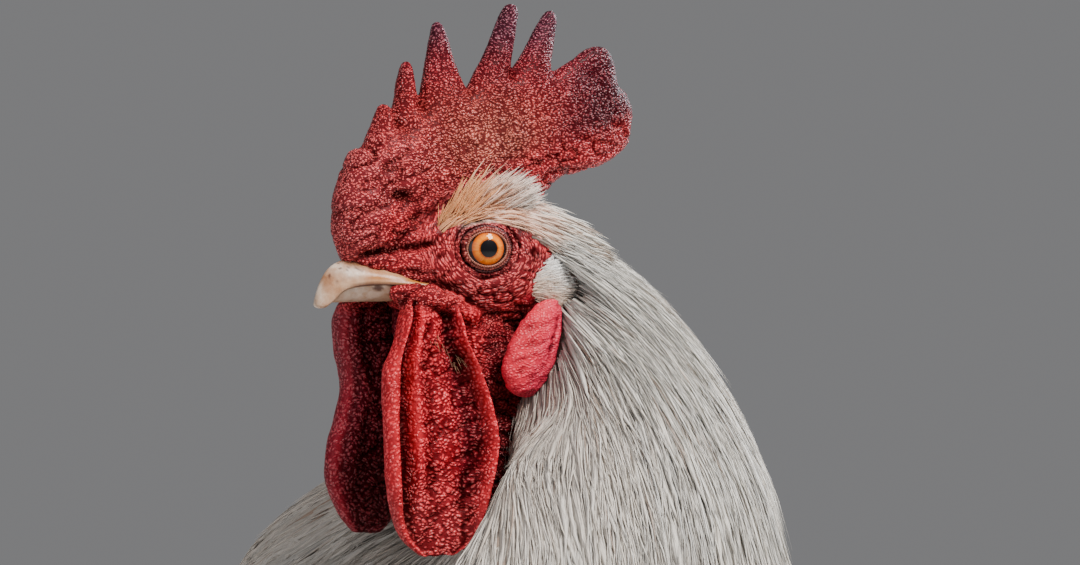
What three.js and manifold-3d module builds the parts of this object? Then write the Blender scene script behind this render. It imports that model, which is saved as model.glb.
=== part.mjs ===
// A life-size farmyard rooster, standing still: a bare face with a tall single comb, wattles and earlobes,
// a full neck hackle, folded wings, saddle feathers, a sickle tail, and scaled legs with spurs and claws.
// Units are millimetres. The bird faces -Y, its left side is +X, and it stands on the floor at Z = 0.
import * as THREE from "three";
import { mergeVertices } from "three/addons/utils/BufferGeometryUtils.js";
import Module from "manifold-3d";

const wasm = await Module();
wasm.setup();

// Driving dimensions.
const GAP = 0.3; // clearance between neighbouring pieces
const EYE_Z = 452; // height of the eyes above the floor
const EYE_Y = -110; // the eyes' station along the body
const HEAD_TURN = THREE.MathUtils.degToRad(10); // the head looks a little to its left
const LEG_X = 41; // half the distance between the feet
const FOOT_Y = -42; // the pad under each leg
const HOCK_Z = 116;
const BOTH_SIDES = [
  ["left", 1],
  ["right", -1],
];

// ---------------------------------------------------------------- small tools

const v3 = (x, y, z) => new THREE.Vector3(x, y, z);
const X_AXIS = v3(1, 0, 0);
const Y_AXIS = v3(0, 1, 0);
const { lerp, clamp, degToRad } = THREE.MathUtils;

// Repeatable random numbers from 0 to 1.
function seeded(seed) {
  let state = seed;
  return () => {
    state = (state * 1664525 + 1013904223) % 4294967296;
    return state / 4294967296;
  };
}

// Catmull-Rom values along rows of numbers, at t from 0 to the last row's index.
function rowAt(rows, t) {
  const last = rows.length - 1;
  const k = clamp(Math.floor(t), 0, last - 1);
  const f = t - k;
  const row = (n) => rows[clamp(n, 0, last)];
  return rows[0].map((_, c) => {
    const [a, b, d, e] = [row(k - 1)[c], row(k)[c], row(k + 1)[c], row(k + 2)[c]];
    const [p, q] = [(d - a) / 2, (e - b) / 2];
    return b + f * (p + f * (3 * (d - b) - 2 * p - q + f * (2 * (b - d) + p + q)));
  });
}

const smooth = (rows, count) =>
  Array.from({ length: count }, (_, i) => rowAt(rows, (i / (count - 1)) * (rows.length - 1)));

// A geometry as a solid. Its seams are merged, and its faces are turned outwards.
function solidOf(geometry) {
  const bare = geometry.clone();
  bare.deleteAttribute("normal");
  bare.deleteAttribute("uv");
  const merged = mergeVertices(bare, 1e-4);
  const p = merged.attributes.position;
  const triVerts = new Uint32Array(merged.index.array);
  const [a, b, c] = [v3(), v3(), v3()];
  let volume = 0;
  for (let i = 0; i < triVerts.length; i += 3) {
    a.fromBufferAttribute(p, triVerts[i]);
    b.fromBufferAttribute(p, triVerts[i + 1]);
    c.fromBufferAttribute(p, triVerts[i + 2]);
    volume += a.dot(b.cross(c));
  }
  for (let i = 0; volume < 0 && i < triVerts.length; i += 3)
    [triVerts[i], triVerts[i + 1]] = [triVerts[i + 1], triVerts[i]];
  return new wasm.Manifold(
    new wasm.Mesh({ numProp: 3, vertProperties: p.array, triVerts }),
  );
}

// The closed body through a row of rings with equal numbers of points. Each end closes on a pole.
function through(rings, startPole, endPole) {
  const sides = rings[0].length;
  const middle = (ring) => ring.reduce((sum, p) => sum.add(p), v3()).divideScalar(sides);
  const points = [...rings.flat(), startPole ?? middle(rings[0]), endPole ?? middle(rings.at(-1))];
  const [start, end] = [points.length - 2, points.length - 1];
  const lastRing = (rings.length - 1) * sides;
  const index = [];
  for (let j = 0; j < sides; j++) {
    const k = (j + 1) % sides;
    index.push(start, k, j, end, lastRing + j, lastRing + k);
    for (let i = 0; i < lastRing; i += sides)
      index.push(i + j, i + k, i + sides + k, i + j, i + sides + k, i + sides + j);
  }
  const geometry = new THREE.BufferGeometry().setFromPoints(points);
  geometry.setIndex(index);
  return solidOf(geometry);
}

// An oval ring: `across` and `up` are its half axes as vectors.
const oval = (centre, across, up, sides) =>
  Array.from({ length: sides }, (_, j) => {
    const a = (2 * Math.PI * j) / sides;
    return centre.clone().addScaledVector(across, Math.cos(a)).addScaledVector(up, Math.sin(a));
  });

// A limb through rows of [x, y, z, half width across `side`, half depth], with oval sections.
function limb(rows, count, sides, side = X_AXIS, grow = 0) {
  const dense = smooth(rows, count);
  const at = dense.map((r) => v3(...r));
  const rings = dense.map((r, i) => {
    const along = at[Math.min(i + 1, count - 1)].clone().sub(at[Math.max(i - 1, 0)]).normalize();
    const up = along.clone().cross(side).normalize();
    const across = up.clone().cross(along).normalize();
    const [wide, deep] = [r[3] + grow, r[4] + grow];
    return oval(at[i], across.multiplyScalar(wide), up.multiplyScalar(deep), sides);
  });
  return through(rings);
}

const sphere = (centre, radii, columns = 16, rows = 10) =>
  solidOf(
    new THREE.SphereGeometry(1, columns, rows)
      .scale(radii.x, radii.y, radii.z)
      .translate(centre.x, centre.y, centre.z),
  );

const block = (size, centre) =>
  solidOf(new THREE.BoxGeometry(size.x, size.y, size.z).translate(centre.x, centre.y, centre.z));

const joined = (solids) => wasm.Manifold.union(solids);

// The largest closed surface of a solid, without loose scraps or sealed hollows.
const largest = (solid) =>
  solid.decompose().reduce((best, piece) => (piece.volume() > best.volume() ? piece : best));

// A solid with others taken away, as its largest piece. The others come grown by the clearance.
const cut = (solid, ...others) => largest(others.length ? solid.subtract(joined(others)) : solid);

// A feather vane: a low roof-shaped strip along a path. pathAt(s) gives {at, out} for s from 0 at the
// root to 1 at the tip: a point, and the direction that faces away from the body.
function vane(pathAt, { halfWidth, thick, segments, tip = 0, widest = 0.4, tilt = 0 }) {
  const count = segments + 1;
  const samples = Array.from({ length: count }, (_, i) => pathAt(i / segments));
  const rings = samples.map(({ at, out }, i) => {
    const s = i / segments;
    const next = samples[Math.min(i + 1, segments)].at;
    const along = next.clone().sub(samples[Math.max(i - 1, 0)].at).normalize();
    const across = along.clone().cross(out).normalize();
    const rise = lerp(0.55, 1, clamp(s / widest, 0, 1));
    const fall = lerp(1, tip, clamp((s - widest) / (1 - widest), 0, 1) ** 2);
    const half = halfWidth * rise * fall;
    const ridge = thick * lerp(1, 0.6, s);
    return [
      at.clone().addScaledVector(across, half).addScaledVector(out, tilt * half),
      at.clone().addScaledVector(out, ridge),
      at.clone().addScaledVector(across, -half).addScaledVector(out, -tilt * half),
    ];
  });
  if (tip > 0) return through(rings);
  return through(rings.slice(0, -1), undefined, samples.at(-1).at);
}

// A colour, how rough it is, and the name of the mesh that wears it.
const root = new THREE.Group();
const looks = {
  skin: { color: 0xb0222c, roughness: 0.45 },
  feather: { color: 0xe9e3d6, roughness: 0.8 },
  beak: { color: 0xcfa885, roughness: 0.4 },
  eye: { color: 0xe8861a, roughness: 0.08 },
  scale: { color: 0xd9a845, roughness: 0.55 },
  claw: { color: 0xd8c3a5, roughness: 0.4 },
};

function addMesh(parent, name, look, solid) {
  const { vertProperties, triVerts } = largest(solid).getMesh();
  const geometry = new THREE.BufferGeometry();
  geometry.setAttribute("position", new THREE.BufferAttribute(new Float32Array(vertProperties), 3));
  geometry.setIndex(new THREE.BufferAttribute(new Uint32Array(triVerts), 1));
  const mesh = new THREE.Mesh(geometry, new THREE.MeshStandardMaterial(looks[look]));
  mesh.name = name;
  parent.add(mesh);
}

// ---------------------------------------------------------------- head, in its own frame

// The head's frame has its origin midway between the eyes, with x to the bird's left, y back and z up.
// Rows below give [forward, up, half width, half height] for sections from back to front.
const head = new THREE.Group();
head.position.set(0, EYE_Y, EYE_Z);
head.rotation.z = HEAD_TURN;
root.add(head);
const toWorld = (solid) =>
  solid.rotate([0, 0, THREE.MathUtils.radToDeg(HEAD_TURN)]).translate([0, EYE_Y, EYE_Z]);

const SKULL = [
  [-36, -1, 5, 5.5],
  [-32, -1.5, 13, 12.5],
  [-22, -4, 18.5, 19],
  [-8, -4, 19.5, 20.5],
  [4, -3, 17, 20],
  [14, -3.5, 13.5, 16],
  [23, -5.5, 10.5, 11.5],
  [29, -7.5, 8.5, 7.5],
  [31, -8, 6, 5],
];
const JAW = [
  [8, -8, 12, 12],
  [2, -20, 14.5, 16],
  [-3, -34, 14, 17],
  [-7, -48, 12, 16],
  [-10, -56, 8, 11],
];
const UPPER_BILL = [
  [20, -5.6, 8.6, 4.8],
  [27, -6, 7.8, 4.2],
  [33, -6.4, 6.2, 3.7],
  [38, -8, 4.4, 3.2],
  [41.5, -10.6, 2.6, 2.4],
  [43.4, -13.6, 1, 1],
];
const LOWER_BILL = [
  [16, -13, 7.8, 3],
  [26, -13, 6.6, 2.6],
  [33, -13, 4.9, 2],
  [38.5, -13.6, 2.6, 1.2],
  [40.5, -14, 1, 0.6],
];
const EYE = { x: 10.4, radius: 7.6 };
const LID = { x: 16, ring: 6.4, tube: 1.6 };
const MOUTH_CORNER = { forward: 17, up: -11.6, long: 13, high: 0.9, deep: 5, from: 10.5 };
const NOSTRIL = { forward: 27.5, up: -5.4, x: 7.4, long: 2, high: 0.9, deep: 1.5 };

const forwardLimb = (rows, count, sides, grow = 0) =>
  limb(rows.map(([u, v, wide, high]) => [0, -u, v, wide, high]), count, sides, X_AXIS, grow);

function eyeBall(side, grow = 0, columns = 12) {
  const r = EYE.radius + grow;
  return sphere(v3(side * EYE.x, 0, 0), v3(r, r, r), columns, 8);
}

function eyelid(side) {
  const ring = new THREE.TorusGeometry(LID.ring, LID.tube, 6, 12);
  ring.scale(1.12, 1, 1);
  ring.rotateY(Math.PI / 2);
  return solidOf(ring.translate(side * LID.x, 0, 0));
}

// Bony brows that shade the eyes and run forward to the bill.
const BROW = [
  [15.5, 12, 9, 1.4, 1.4],
  [18, 4, 9.6, 2.6, 2.2],
  [16.5, -8, 6.4, 2.6, 2.2],
  [12, -20, 0.5, 1.5, 1.6],
];
const brow = (side) => limb(BROW.map(([x, ...rest]) => [side * x, ...rest]), 4, 5);

function mouthCorner(side) {
  const m = MOUTH_CORNER;
  return block(v3(m.deep, m.long, m.high), v3(side * (m.from + m.deep / 2), -m.forward, m.up));
}

// Soft lips along the corner of the mouth, above and below the slit.
function lips(side, grow = 0) {
  const lip = (rise) =>
    limb(
      [
        [side * 8.8, -25, -11.6 + rise, 1, 1],
        [side * 12.2, -16, -11.6 + rise, 1.5, 1.3],
        [side * 13.6, -9.5, -12.6 + rise * 0.7, 1, 1],
      ],
      4,
      5,
      X_AXIS,
      grow,
    );
  return joined([lip(1.6), lip(-1.6)]);
}

const upperBill = (grow = 0) => forwardLimb(UPPER_BILL, 9, 10, grow);
const lowerBill = (grow = 0) => cut(forwardLimb(LOWER_BILL, 7, 8, grow), upperBill(GAP - grow));
const skull = (grow = 0) => joined([forwardLimb(SKULL, 10, 12, grow), forwardLimb(JAW, 5, 10, grow)]);
const flesh = (grow = 0) => joined([skull(grow), lips(1, grow), lips(-1, grow)]);

function nostrils() {
  const { x, forward, up, long, high, deep } = NOSTRIL;
  return joined([1, -1].map((side) => sphere(v3(side * x, -forward, up), v3(deep, long, high), 8, 5)));
}

function faceSolid() {
  const folds = BOTH_SIDES.flatMap(([, side]) => [eyelid(side), brow(side)]);
  const hollows = BOTH_SIDES.flatMap(([, side]) => [eyeBall(side, 0.6, 10), mouthCorner(side)]);
  return cut(joined([flesh(), ...folds]), ...hollows, upperBill(GAP), lowerBill(GAP));
}

// The comb's body from front to back, as [forward, up, half height, half thickness].
const COMB_BODY = [
  [37, 9, 5, 3.5],
  [34.5, 10, 12.5, 6.6],
  [27, 13.5, 17, 7.4],
  [15, 19, 16, 6.6],
  [0, 27, 15.5, 5.6],
  [-15, 31, 15.5, 5],
  [-30, 34, 14.4, 4.4],
  [-43, 37.2, 15.4, 4],
  [-51, 36.6, 11.4, 3.2],
  [-54.5, 34.5, 4.5, 1.6],
];
// Its points from front to back, as [root forward, root up, tip forward, tip up, half root, half tip].
const COMB_POINTS = [
  [32, 20, 33.5, 27, 3.5, 1.3],
  [25.5, 26, 22.8, 38.6, 4.2, 1.7],
  [15.8, 31, 16, 50, 4, 1.6],
  [5, 36, 6, 60.6, 7, 1.9],
  [-8.2, 38, -16.8, 65.4, 6.8, 2],
  [-21.4, 40, -29.2, 63.8, 6.2, 2],
  [-36, 38, -47, 53, 9, 4.6],
];

function comb() {
  const body = limb(
    COMB_BODY.map(([u, v, high, thick]) => [0, -u, v, thick, high]),
    13,
    10,
  );
  const points = COMB_POINTS.map(([u0, v0, u1, v1, wide, end]) =>
    limb(
      [0, 0.45, 0.9, 1].map((s) => [
        0,
        -lerp(u0, u1, s),
        lerp(v0, v1, s),
        lerp(4.2, 1.8, s) * (s === 1 ? 0.6 : 1),
        lerp(wide, end, s ** 0.8) * (s === 1 ? 0.5 : 1),
      ]),
      5,
      6,
    ),
  );
  return cut(joined([body, ...points]), flesh(GAP), upperBill(GAP));
}

// A wattle's leaf from the jaw down, as [up, forward, outward, half width, half thickness].
const WATTLE = [
  [-8, 20, 9, 4, 3.4],
  [-17, 20.5, 12, 8.5, 3.8],
  [-32, 18, 15.5, 13, 3],
  [-50, 16.5, 18.5, 16, 2.4],
  [-66, 17, 19.5, 15.5, 2.6],
  [-76, 18, 19, 11, 2.6],
  [-81.5, 18.5, 18.5, 3.5, 1.6],
];
const WATTLE_FLARE = 0.16; // the rear edge stands further out than the front edge
const WATTLE_CUP = 3.2; // how far the middle of the leaf lies behind its rims
// The leaf's cross section as [fore from -1 to 1, out from the middle in half thicknesses]. Rolled rims
// run down both edges, and a fold runs down the outer face.
const WATTLE_SECTION = [
  [-1, 0.1],
  [-0.93, 1.35],
  [-0.72, 0.35],
  [-0.15, 0.7],
  [0.2, 0.7],
  [0.38, 1.6],
  [0.56, 0.5],
  [0.84, 1.45],
  [1, 0.3],
  [0.86, -0.9],
  [0.2, -0.75],
  [-0.5, -0.75],
];
const WATTLE_FOLD = 5; // the section's point that rises into the fold

// Where a wattle's leaf lies at `down` from 0 to 1 and `fore` from -1 at the rear edge to 1 in front.
function wattleAt(side, down, fore) {
  const [v, u, l, wide] = rowAt(WATTLE, down * (WATTLE.length - 1));
  const cup = WATTLE_CUP * Math.sin(Math.PI * down) * (1 - fore * fore);
  const out = l - fore * wide * WATTLE_FLARE - cup;
  return v3(side * out, -(u + fore * wide), v);
}

function wattleLeaf(side) {
  const rings = Array.from({ length: 10 }, (_, i) => {
    const down = i / 9;
    const thick = rowAt(WATTLE, down * (WATTLE.length - 1))[4];
    const fold = clamp(4 * Math.sin(Math.PI * clamp((down - 0.1) / 0.6, 0, 1)), 0, 1);
    return WATTLE_SECTION.map(([fore, out], j) => {
      const p = wattleAt(side, down, fore);
      const lift = j === WATTLE_FOLD ? lerp(0.6, out, fold) : out;
      p.x += side * lift * thick;
      return p;
    });
  });
  return through(rings);
}

// A wattle hangs from just below the lips.
const wattle = (side) => cut(wattleLeaf(side).trimByPlane([0, 0, -1], 15.2), skull(GAP));

// The room that the neck's feathers leave for a wattle.
const wattleRoom = (side) =>
  limb(WATTLE.map(([v, u, l, wide]) => [side * (l + 0.5), -u, v - 1, 9.4, wide + 4.4]), 7, 8);

// An earlobe: a flat oval pad with shallow cross wrinkles, leaning back at the top.
function earlobe(side) {
  const lobe = new THREE.SphereGeometry(1, 10, 10);
  const p = lobe.attributes.position;
  for (let i = 0; i < p.count; i++) {
    const ripple = 1 + 0.07 * Math.sin(p.getY(i) * 9);
    p.setXYZ(i, p.getX(i) * 4.4 * ripple, p.getZ(i) * 7 * ripple, p.getY(i) * 13.5);
  }
  lobe.rotateX(degToRad(-16));
  return cut(solidOf(lobe.translate(side * 17.4, 12.5, -27)), flesh(GAP));
}

// The room that the neck's feathers leave for an earlobe.
function earlobeRoom(side) {
  const room = new THREE.SphereGeometry(1, 8, 6).scale(5.8, 9, 15.5).rotateX(degToRad(-16));
  return solidOf(room.translate(side * 17.4, 12.5, -27));
}

// ---------------------------------------------------------------- torso

// Cross sections from breast to rump, as [y, top, bottom, half width].
const TORSO = [
  [-177, 308, 284, 12],
  [-170, 329, 264, 34],
  [-148, 348, 232, 54],
  [-112, 356, 202, 68],
  [-72, 352, 184, 75],
  [-32, 343, 177, 76],
  [8, 332, 181, 71],
  [44, 325, 198, 61],
  [74, 324, 224, 47],
  [96, 330, 254, 33],
  [110, 334, 276, 20],
  [116, 326, 290, 9],
];
const TORSO_STEPS = 20;

function torsoRowAt(y) {
  let [low, high] = [0, TORSO.length - 1];
  for (let i = 0; i < 24; i++) {
    const mid = (low + high) / 2;
    if (rowAt(TORSO, mid)[0] < y) low = mid;
    else high = mid;
  }
  return rowAt(TORSO, low);
}

// A point on the torso's section at y. The angle runs from 0 on the back to 180 degrees at the belly.
function torsoPoint(y, angle, lift = 0) {
  const [, top, bottom, wide] = torsoRowAt(y);
  const high = (top - bottom) / 2;
  const out = v3(Math.sin(angle) / wide, 0, Math.cos(angle) / high).normalize();
  const at = v3(wide * Math.sin(angle), y, (top + bottom) / 2 + high * Math.cos(angle));
  return { at: at.addScaledVector(out, lift), out };
}

function torsoCore(grow = 0) {
  const rings = smooth(TORSO, TORSO_STEPS).map(([y, top, bottom, wide]) =>
    oval(
      v3(0, y, (top + bottom) / 2),
      v3(wide + grow, 0, 0),
      v3(0, 0, (top - bottom) / 2 + grow),
      20,
    ),
  );
  return through(rings);
}

// Saddle feathers root across the lower back and hang down both flanks, outside the wing tips.
const SADDLE_TIERS = [
  { y: 2, count: 4, from: 9, to: 38, long: 62, swing: 20 },
  { y: 26, count: 5, from: 7, to: 44, long: 66, swing: 26 },
  { y: 50, count: 6, from: 9, to: 60, long: 62, swing: 34 },
];
const SADDLE_LIFT = 12; // how far the tips stand off the torso
const RUMP_Y = 92; // from here the tips hang free behind the rump

function saddleVanes() {
  const random = seeded(7);
  const vanes = [];
  for (const tier of SADDLE_TIERS)
    for (const [, side] of BOTH_SIDES)
      for (let i = 0; i < tier.count; i++) {
        const share = i / (tier.count - 1);
        const start = lerp(tier.from, tier.to, share);
        const long = tier.long * lerp(1, 0.86, share) * lerp(0.93, 1.07, random());
        const swing = tier.swing * lerp(0.35, 1, share) * lerp(0.9, 1.1, random());
        vanes.push(
          vane(
            (s) => {
              const lift = s === 0 ? -2.5 : 0.4 + SADDLE_LIFT * s ** 1.1;
              const y = tier.y + long * s;
              const point = torsoPoint(Math.min(y, RUMP_Y), side * degToRad(start + swing * s), lift);
              point.at.y = y;
              return point;
            },
            { halfWidth: 6.2, thick: 1.4, segments: 3, widest: 0.5 },
          ),
        );
      }
  return vanes;
}

// ---------------------------------------------------------------- neck and hackle

// The hackle's outer shape, ring by ring from the nape down over the shoulders, as
// [y and z at the back, y and z in front, half width, how far the front narrows].
const HACKLE = [
  [-83, 464, -122, 405, 23, 0.1],
  [-54, 443, -139, 396, 38, 0.2],
  [-35, 416, -155, 384, 56, 0],
  [-24, 389, -172, 366, 70, -0.12],
  [-17, 362, -184, 346, 78, -0.12],
  [-5, 348, -191, 322, 82, -0.04],
  [14, 340, -188, 299, 84, 0.02],
  [36, 334, -180, 276, 84, 0.04],
];
const CORE_DEPTH = 9; // the neck's core lies this far inside the hackle
const ROOT_DEPTH = 11;
// The feathers give way where the wattles hang against them: how far forward they may reach there, the
// hollow's middle and half width, its lowest and highest z, and how fast it opens aside and below.
const HOLLOW = {
  forward: 106,
  middle: 3,
  wide: 26,
  low: 379,
  high: 430,
  opens: 0.04,
  closes: 0.028,
  soften: 20,
};

// A point of the hackle's outer shape at ring t and at an angle from 0 at the nape to pi in front,
// moved outwards by lift. Positive angles are on the bird's left.
function hacklePoint(t, angle, lift = 0) {
  const [backY, backZ, frontY, frontZ, half, narrows] = rowAt(HACKLE, t);
  const wide = half * (1 - narrows * ((1 - Math.cos(angle)) / 2) ** 1.5);
  const middle = v3(0, (backY + frontY) / 2, (backZ + frontZ) / 2);
  const deep = v3(0, (backY - frontY) / 2, (backZ - frontZ) / 2);
  const out = deep.clone().multiplyScalar(Math.cos(angle) / deep.lengthSq());
  out.addScaledVector(X_AXIS, Math.sin(angle) / wide).normalize();
  const at = middle.addScaledVector(deep, Math.cos(angle)).addScaledVector(X_AXIS, wide * Math.sin(angle));
  return { at: hollowed(at.addScaledVector(out, lift), lift), out };
}

// The hackle's front stays behind the wattles, which hang in a hollow of it.
function hollowed(at, lift) {
  const aside = Math.max(0, Math.abs(at.x - HOLLOW.middle) - HOLLOW.wide);
  const beyond = Math.max(0, HOLLOW.low - at.z, at.z - HOLLOW.high);
  const limit = HOLLOW.forward + HOLLOW.opens * aside ** 2 + HOLLOW.closes * beyond ** 2 + lift;
  at.y = -(limit - at.y - Math.hypot(at.y + limit, HOLLOW.soften)) / 2;
  return at;
}

function neckCore() {
  const rings = Array.from({ length: 10 }, (_, i) => {
    const t = lerp(-0.1, 5.6, i / 9);
    return Array.from(
      { length: 20 },
      (_, j) => hacklePoint(t, (2 * Math.PI * j) / 20, -CORE_DEPTH).at,
    );
  });
  return through(rings);
}

// Tiers of hackle feathers, as {root ring, length in rings, how many, half the spread in degrees}.
const HACKLE_TIERS = [
  { root: 0, long: 2.2, count: 9, spread: 102, halfWidth: 6.6 },
  { root: 1.05, long: 2.5, count: 16, spread: 180, halfWidth: 8.2 },
  { root: 2.2, long: 2.8, count: 19, spread: 180, halfWidth: 9.4 },
  { root: 3.6, long: 3.1, count: 18, spread: 180, halfWidth: 10.8 },
];

function hackleVanes() {
  const random = seeded(24);
  const vanes = [];
  HACKLE_TIERS.forEach(({ root: base, long, count, spread, halfWidth }, tier) => {
    for (let i = 0; i < count; i++) {
      const share = spread < 180 ? i / (count - 1) : (i + (tier % 2) / 2) / count;
      const angle = degToRad(lerp(-spread, spread, share));
      const reach = long * lerp(0.9, 1.07, random());
      const drift = 0.1 * (random() - 0.5);
      vanes.push(
        vane(
          (s) => {
            const lift = s === 0 ? -ROOT_DEPTH : lerp(-6.4, 0, s);
            return hacklePoint(base + reach * s, angle + drift * s, lift);
          },
          { halfWidth, thick: 1.4, segments: 3, widest: 0.5 },
        ),
      );
    }
  });
  return vanes;
}

// ---------------------------------------------------------------- wings

// The folded wing lies on the torso's flank. A point is given by y, z and its lift off the torso.
function flank(side, y, z, lift) {
  const [, top, bottom, wide] = torsoRowAt(y);
  const high = (top - bottom) / 2;
  const rise = clamp((z - (top + bottom) / 2) / high, -0.86, 0.86);
  const reach = wide * Math.sqrt(1 - rise * rise);
  const out = v3((side * reach) / wide ** 2, 0, rise / high).normalize();
  return { at: v3(side * reach, y, z).addScaledVector(out, lift), out };
}

const WING = { y: -40, z: 270, halfLong: 84, halfHigh: 45, slope: -0.13, thick: 8 };
const wingZ = (y, z) => z + WING.slope * (y - WING.y);

function wingPad(side) {
  const pad = new THREE.SphereGeometry(1, 16, 9);
  const p = pad.attributes.position;
  for (let i = 0; i < p.count; i++) {
    const [across, up, along] = [p.getX(i), p.getY(i), p.getZ(i)];
    const y = WING.y + WING.halfLong * along;
    const z = wingZ(y, WING.z + WING.halfHigh * up * (1 - 0.28 * along));
    const lift = across > 0.02 ? 2.4 + WING.thick * across : across > -0.1 ? 2.4 : 1.1;
    const { at } = flank(side, y, z, lift);
    p.setXYZ(i, at.x, at.y, at.z);
  }
  return solidOf(pad);
}

// Rows of wing feathers. Each runs from roots between two points to tips between two others, given as
// [y, z] for its lowest and its highest feather, and lies at `lift`, rising by `step` a feather.
const WING_ROWS = [
  {
    count: 4,
    roots: [[-42, 230], [-22, 250]],
    tips: [[70, 216], [86, 238]],
    halfWidth: 6.4,
    lift: 2.6,
    step: 0.7,
    tip: 0.25,
  },
  {
    count: 6,
    roots: [[-50, 230], [-38, 296]],
    tips: [[30, 220], [66, 276]],
    halfWidth: 10.5,
    lift: 6.2,
    step: 0.45,
    tip: 0.5,
  },
  {
    count: 5,
    roots: [[-78, 238], [-70, 302]],
    tips: [[-26, 228], [-8, 298]],
    halfWidth: 9.6,
    lift: 11.4,
    step: 0.15,
    tip: 0.5,
  },
  {
    count: 4,
    roots: [[-102, 250], [-96, 304]],
    tips: [[-58, 240], [-46, 304]],
    halfWidth: 9.8,
    lift: 12.8,
    step: 0.1,
    tip: 0.5,
  },
];

function wingVanes(side) {
  const random = seeded(33);
  const vanes = [];
  for (const row of WING_ROWS)
    for (let i = 0; i < row.count; i++) {
      const share = i / (row.count - 1);
      const mix = (pair, c) => lerp(pair[0][c], pair[1][c], share);
      const [y0, z0] = [mix(row.roots, 0), mix(row.roots, 1)];
      const [y1, z1] = [mix(row.tips, 0) + 3 * (random() - 0.5), mix(row.tips, 1)];
      const height = row.lift + row.step * i;
      vanes.push(
        vane(
          (s) => {
            const lift = height * clamp(0.35 + s * 2.2, 0, 1);
            return flank(side, lerp(y0, y1, s), lerp(z0, z1, s) + 3 * Math.sin(Math.PI * s), lift);
          },
          { halfWidth: row.halfWidth, thick: 1.3, segments: 4, tip: row.tip, widest: 0.5, tilt: 0.13 * side },
        ),
      );
    }
  return vanes;
}

// ---------------------------------------------------------------- tail

const TAIL_ROOT = v3(0, 100, 312);
const RECTRICES = { count: 5, low: 26, high: 72, long: 156, halfWidth: 16 };

// The fleshy base of the tail.
const TAIL_BASE = [
  [0, 92, 306, 21, 22],
  [0, 108, 316, 21, 22],
  [0, 122, 326, 17, 18],
  [0, 132, 333, 7, 9],
];

// The stiff main feathers stand in two fans, back to back like a steep roof.
function mainTail() {
  const { count, low, high, long, halfWidth } = RECTRICES;
  return BOTH_SIDES.flatMap(([, side]) =>
    Array.from({ length: count }, (_, i) => {
      const share = i / (count - 1);
      const rise = degToRad(lerp(low, high, share));
      const reach = long * lerp(0.9, 1, Math.sin(Math.PI * share));
      return vane(
        (s) => {
          const x = side * lerp(lerp(9.5, 2.4, share), lerp(20, 4, share), s);
          const y = TAIL_ROOT.y + Math.cos(rise) * reach * s;
          const z = TAIL_ROOT.z + 4 + Math.sin(rise) * reach * s - 6 * s * s;
          return { at: v3(x, y, z), out: v3(side, 0, 0.25).normalize() };
        },
        { halfWidth, thick: 1.4, segments: 3, tip: 0.55, widest: 0.7 },
      );
    }),
  );
}

// Sickles arch up, back and down. Each row is [scale, start angle, sideways place at root and tip].
const SICKLES = [
  [1, 80, 4.6, 13],
  [0.82, 71, 11.6, 27],
  [0.66, 61, 13.7, 34],
  [0.5, 49, 15.8, 39],
];
const SICKLE_REACH = 205;

function sickles() {
  return BOTH_SIDES.flatMap(([, side]) =>
    SICKLES.map(([scale, rise, rootX, tipX], i) => {
      const start = v3(0, TAIL_ROOT.y + 4, TAIL_ROOT.z + 16 - i * 4.5);
      const up = degToRad(rise);
      const reach = SICKLE_REACH * scale * (side > 0 ? 1 : 0.97);
      const curve = new THREE.CubicBezierCurve3(
        start,
        start.clone().add(v3(0, Math.cos(up), Math.sin(up)).multiplyScalar(reach * 0.85)),
        start.clone().add(v3(0, reach * 1.02, reach * 0.86)),
        start.clone().add(v3(0, reach * 1.12, reach * 0.08)),
      );
      return vane(
        (s) => {
          const at = curve.getPoint(s);
          at.x = side * lerp(rootX, tipX, s ** 0.8);
          return { at, out: v3(side, 0.12, 0.2).normalize() };
        },
        { halfWidth: lerp(12, 9, i / 3), thick: 1.5, segments: 7, widest: 0.4 },
      );
    }),
  );
}

// Shorter coverts hide the roots of the main feathers on both sides.
const TAIL_COVERTS = { count: 4, low: 6, high: 76, short: 66, long: 88 };

function tailCoverts() {
  const random = seeded(5);
  const { count, low, high, short, long } = TAIL_COVERTS;
  return BOTH_SIDES.flatMap(([, side]) =>
    Array.from({ length: count }, (_, i) => {
      const share = i / (count - 1);
      const rise = degToRad(lerp(low, high, share));
      const reach = lerp(short, long, random());
      return vane(
        (s) => {
          const x = side * lerp(18.4, lerp(45, 32, share), s ** 0.8);
          const y = TAIL_ROOT.y + 6 + Math.cos(rise) * reach * s;
          const z = TAIL_ROOT.z + 6 + Math.sin(rise) * reach * s - 26 * s * s * Math.cos(rise);
          return { at: v3(x, y, z), out: v3(side, 0, 0.25).normalize() };
        },
        { halfWidth: 10, thick: 1.4, segments: 3, widest: 0.55 },
      );
    }),
  );
}

const tailSolid = () =>
  joined([limb(TAIL_BASE, 6, 10), ...mainTail(), ...sickles(), ...tailCoverts()]);

// ---------------------------------------------------------------- legs

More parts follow.
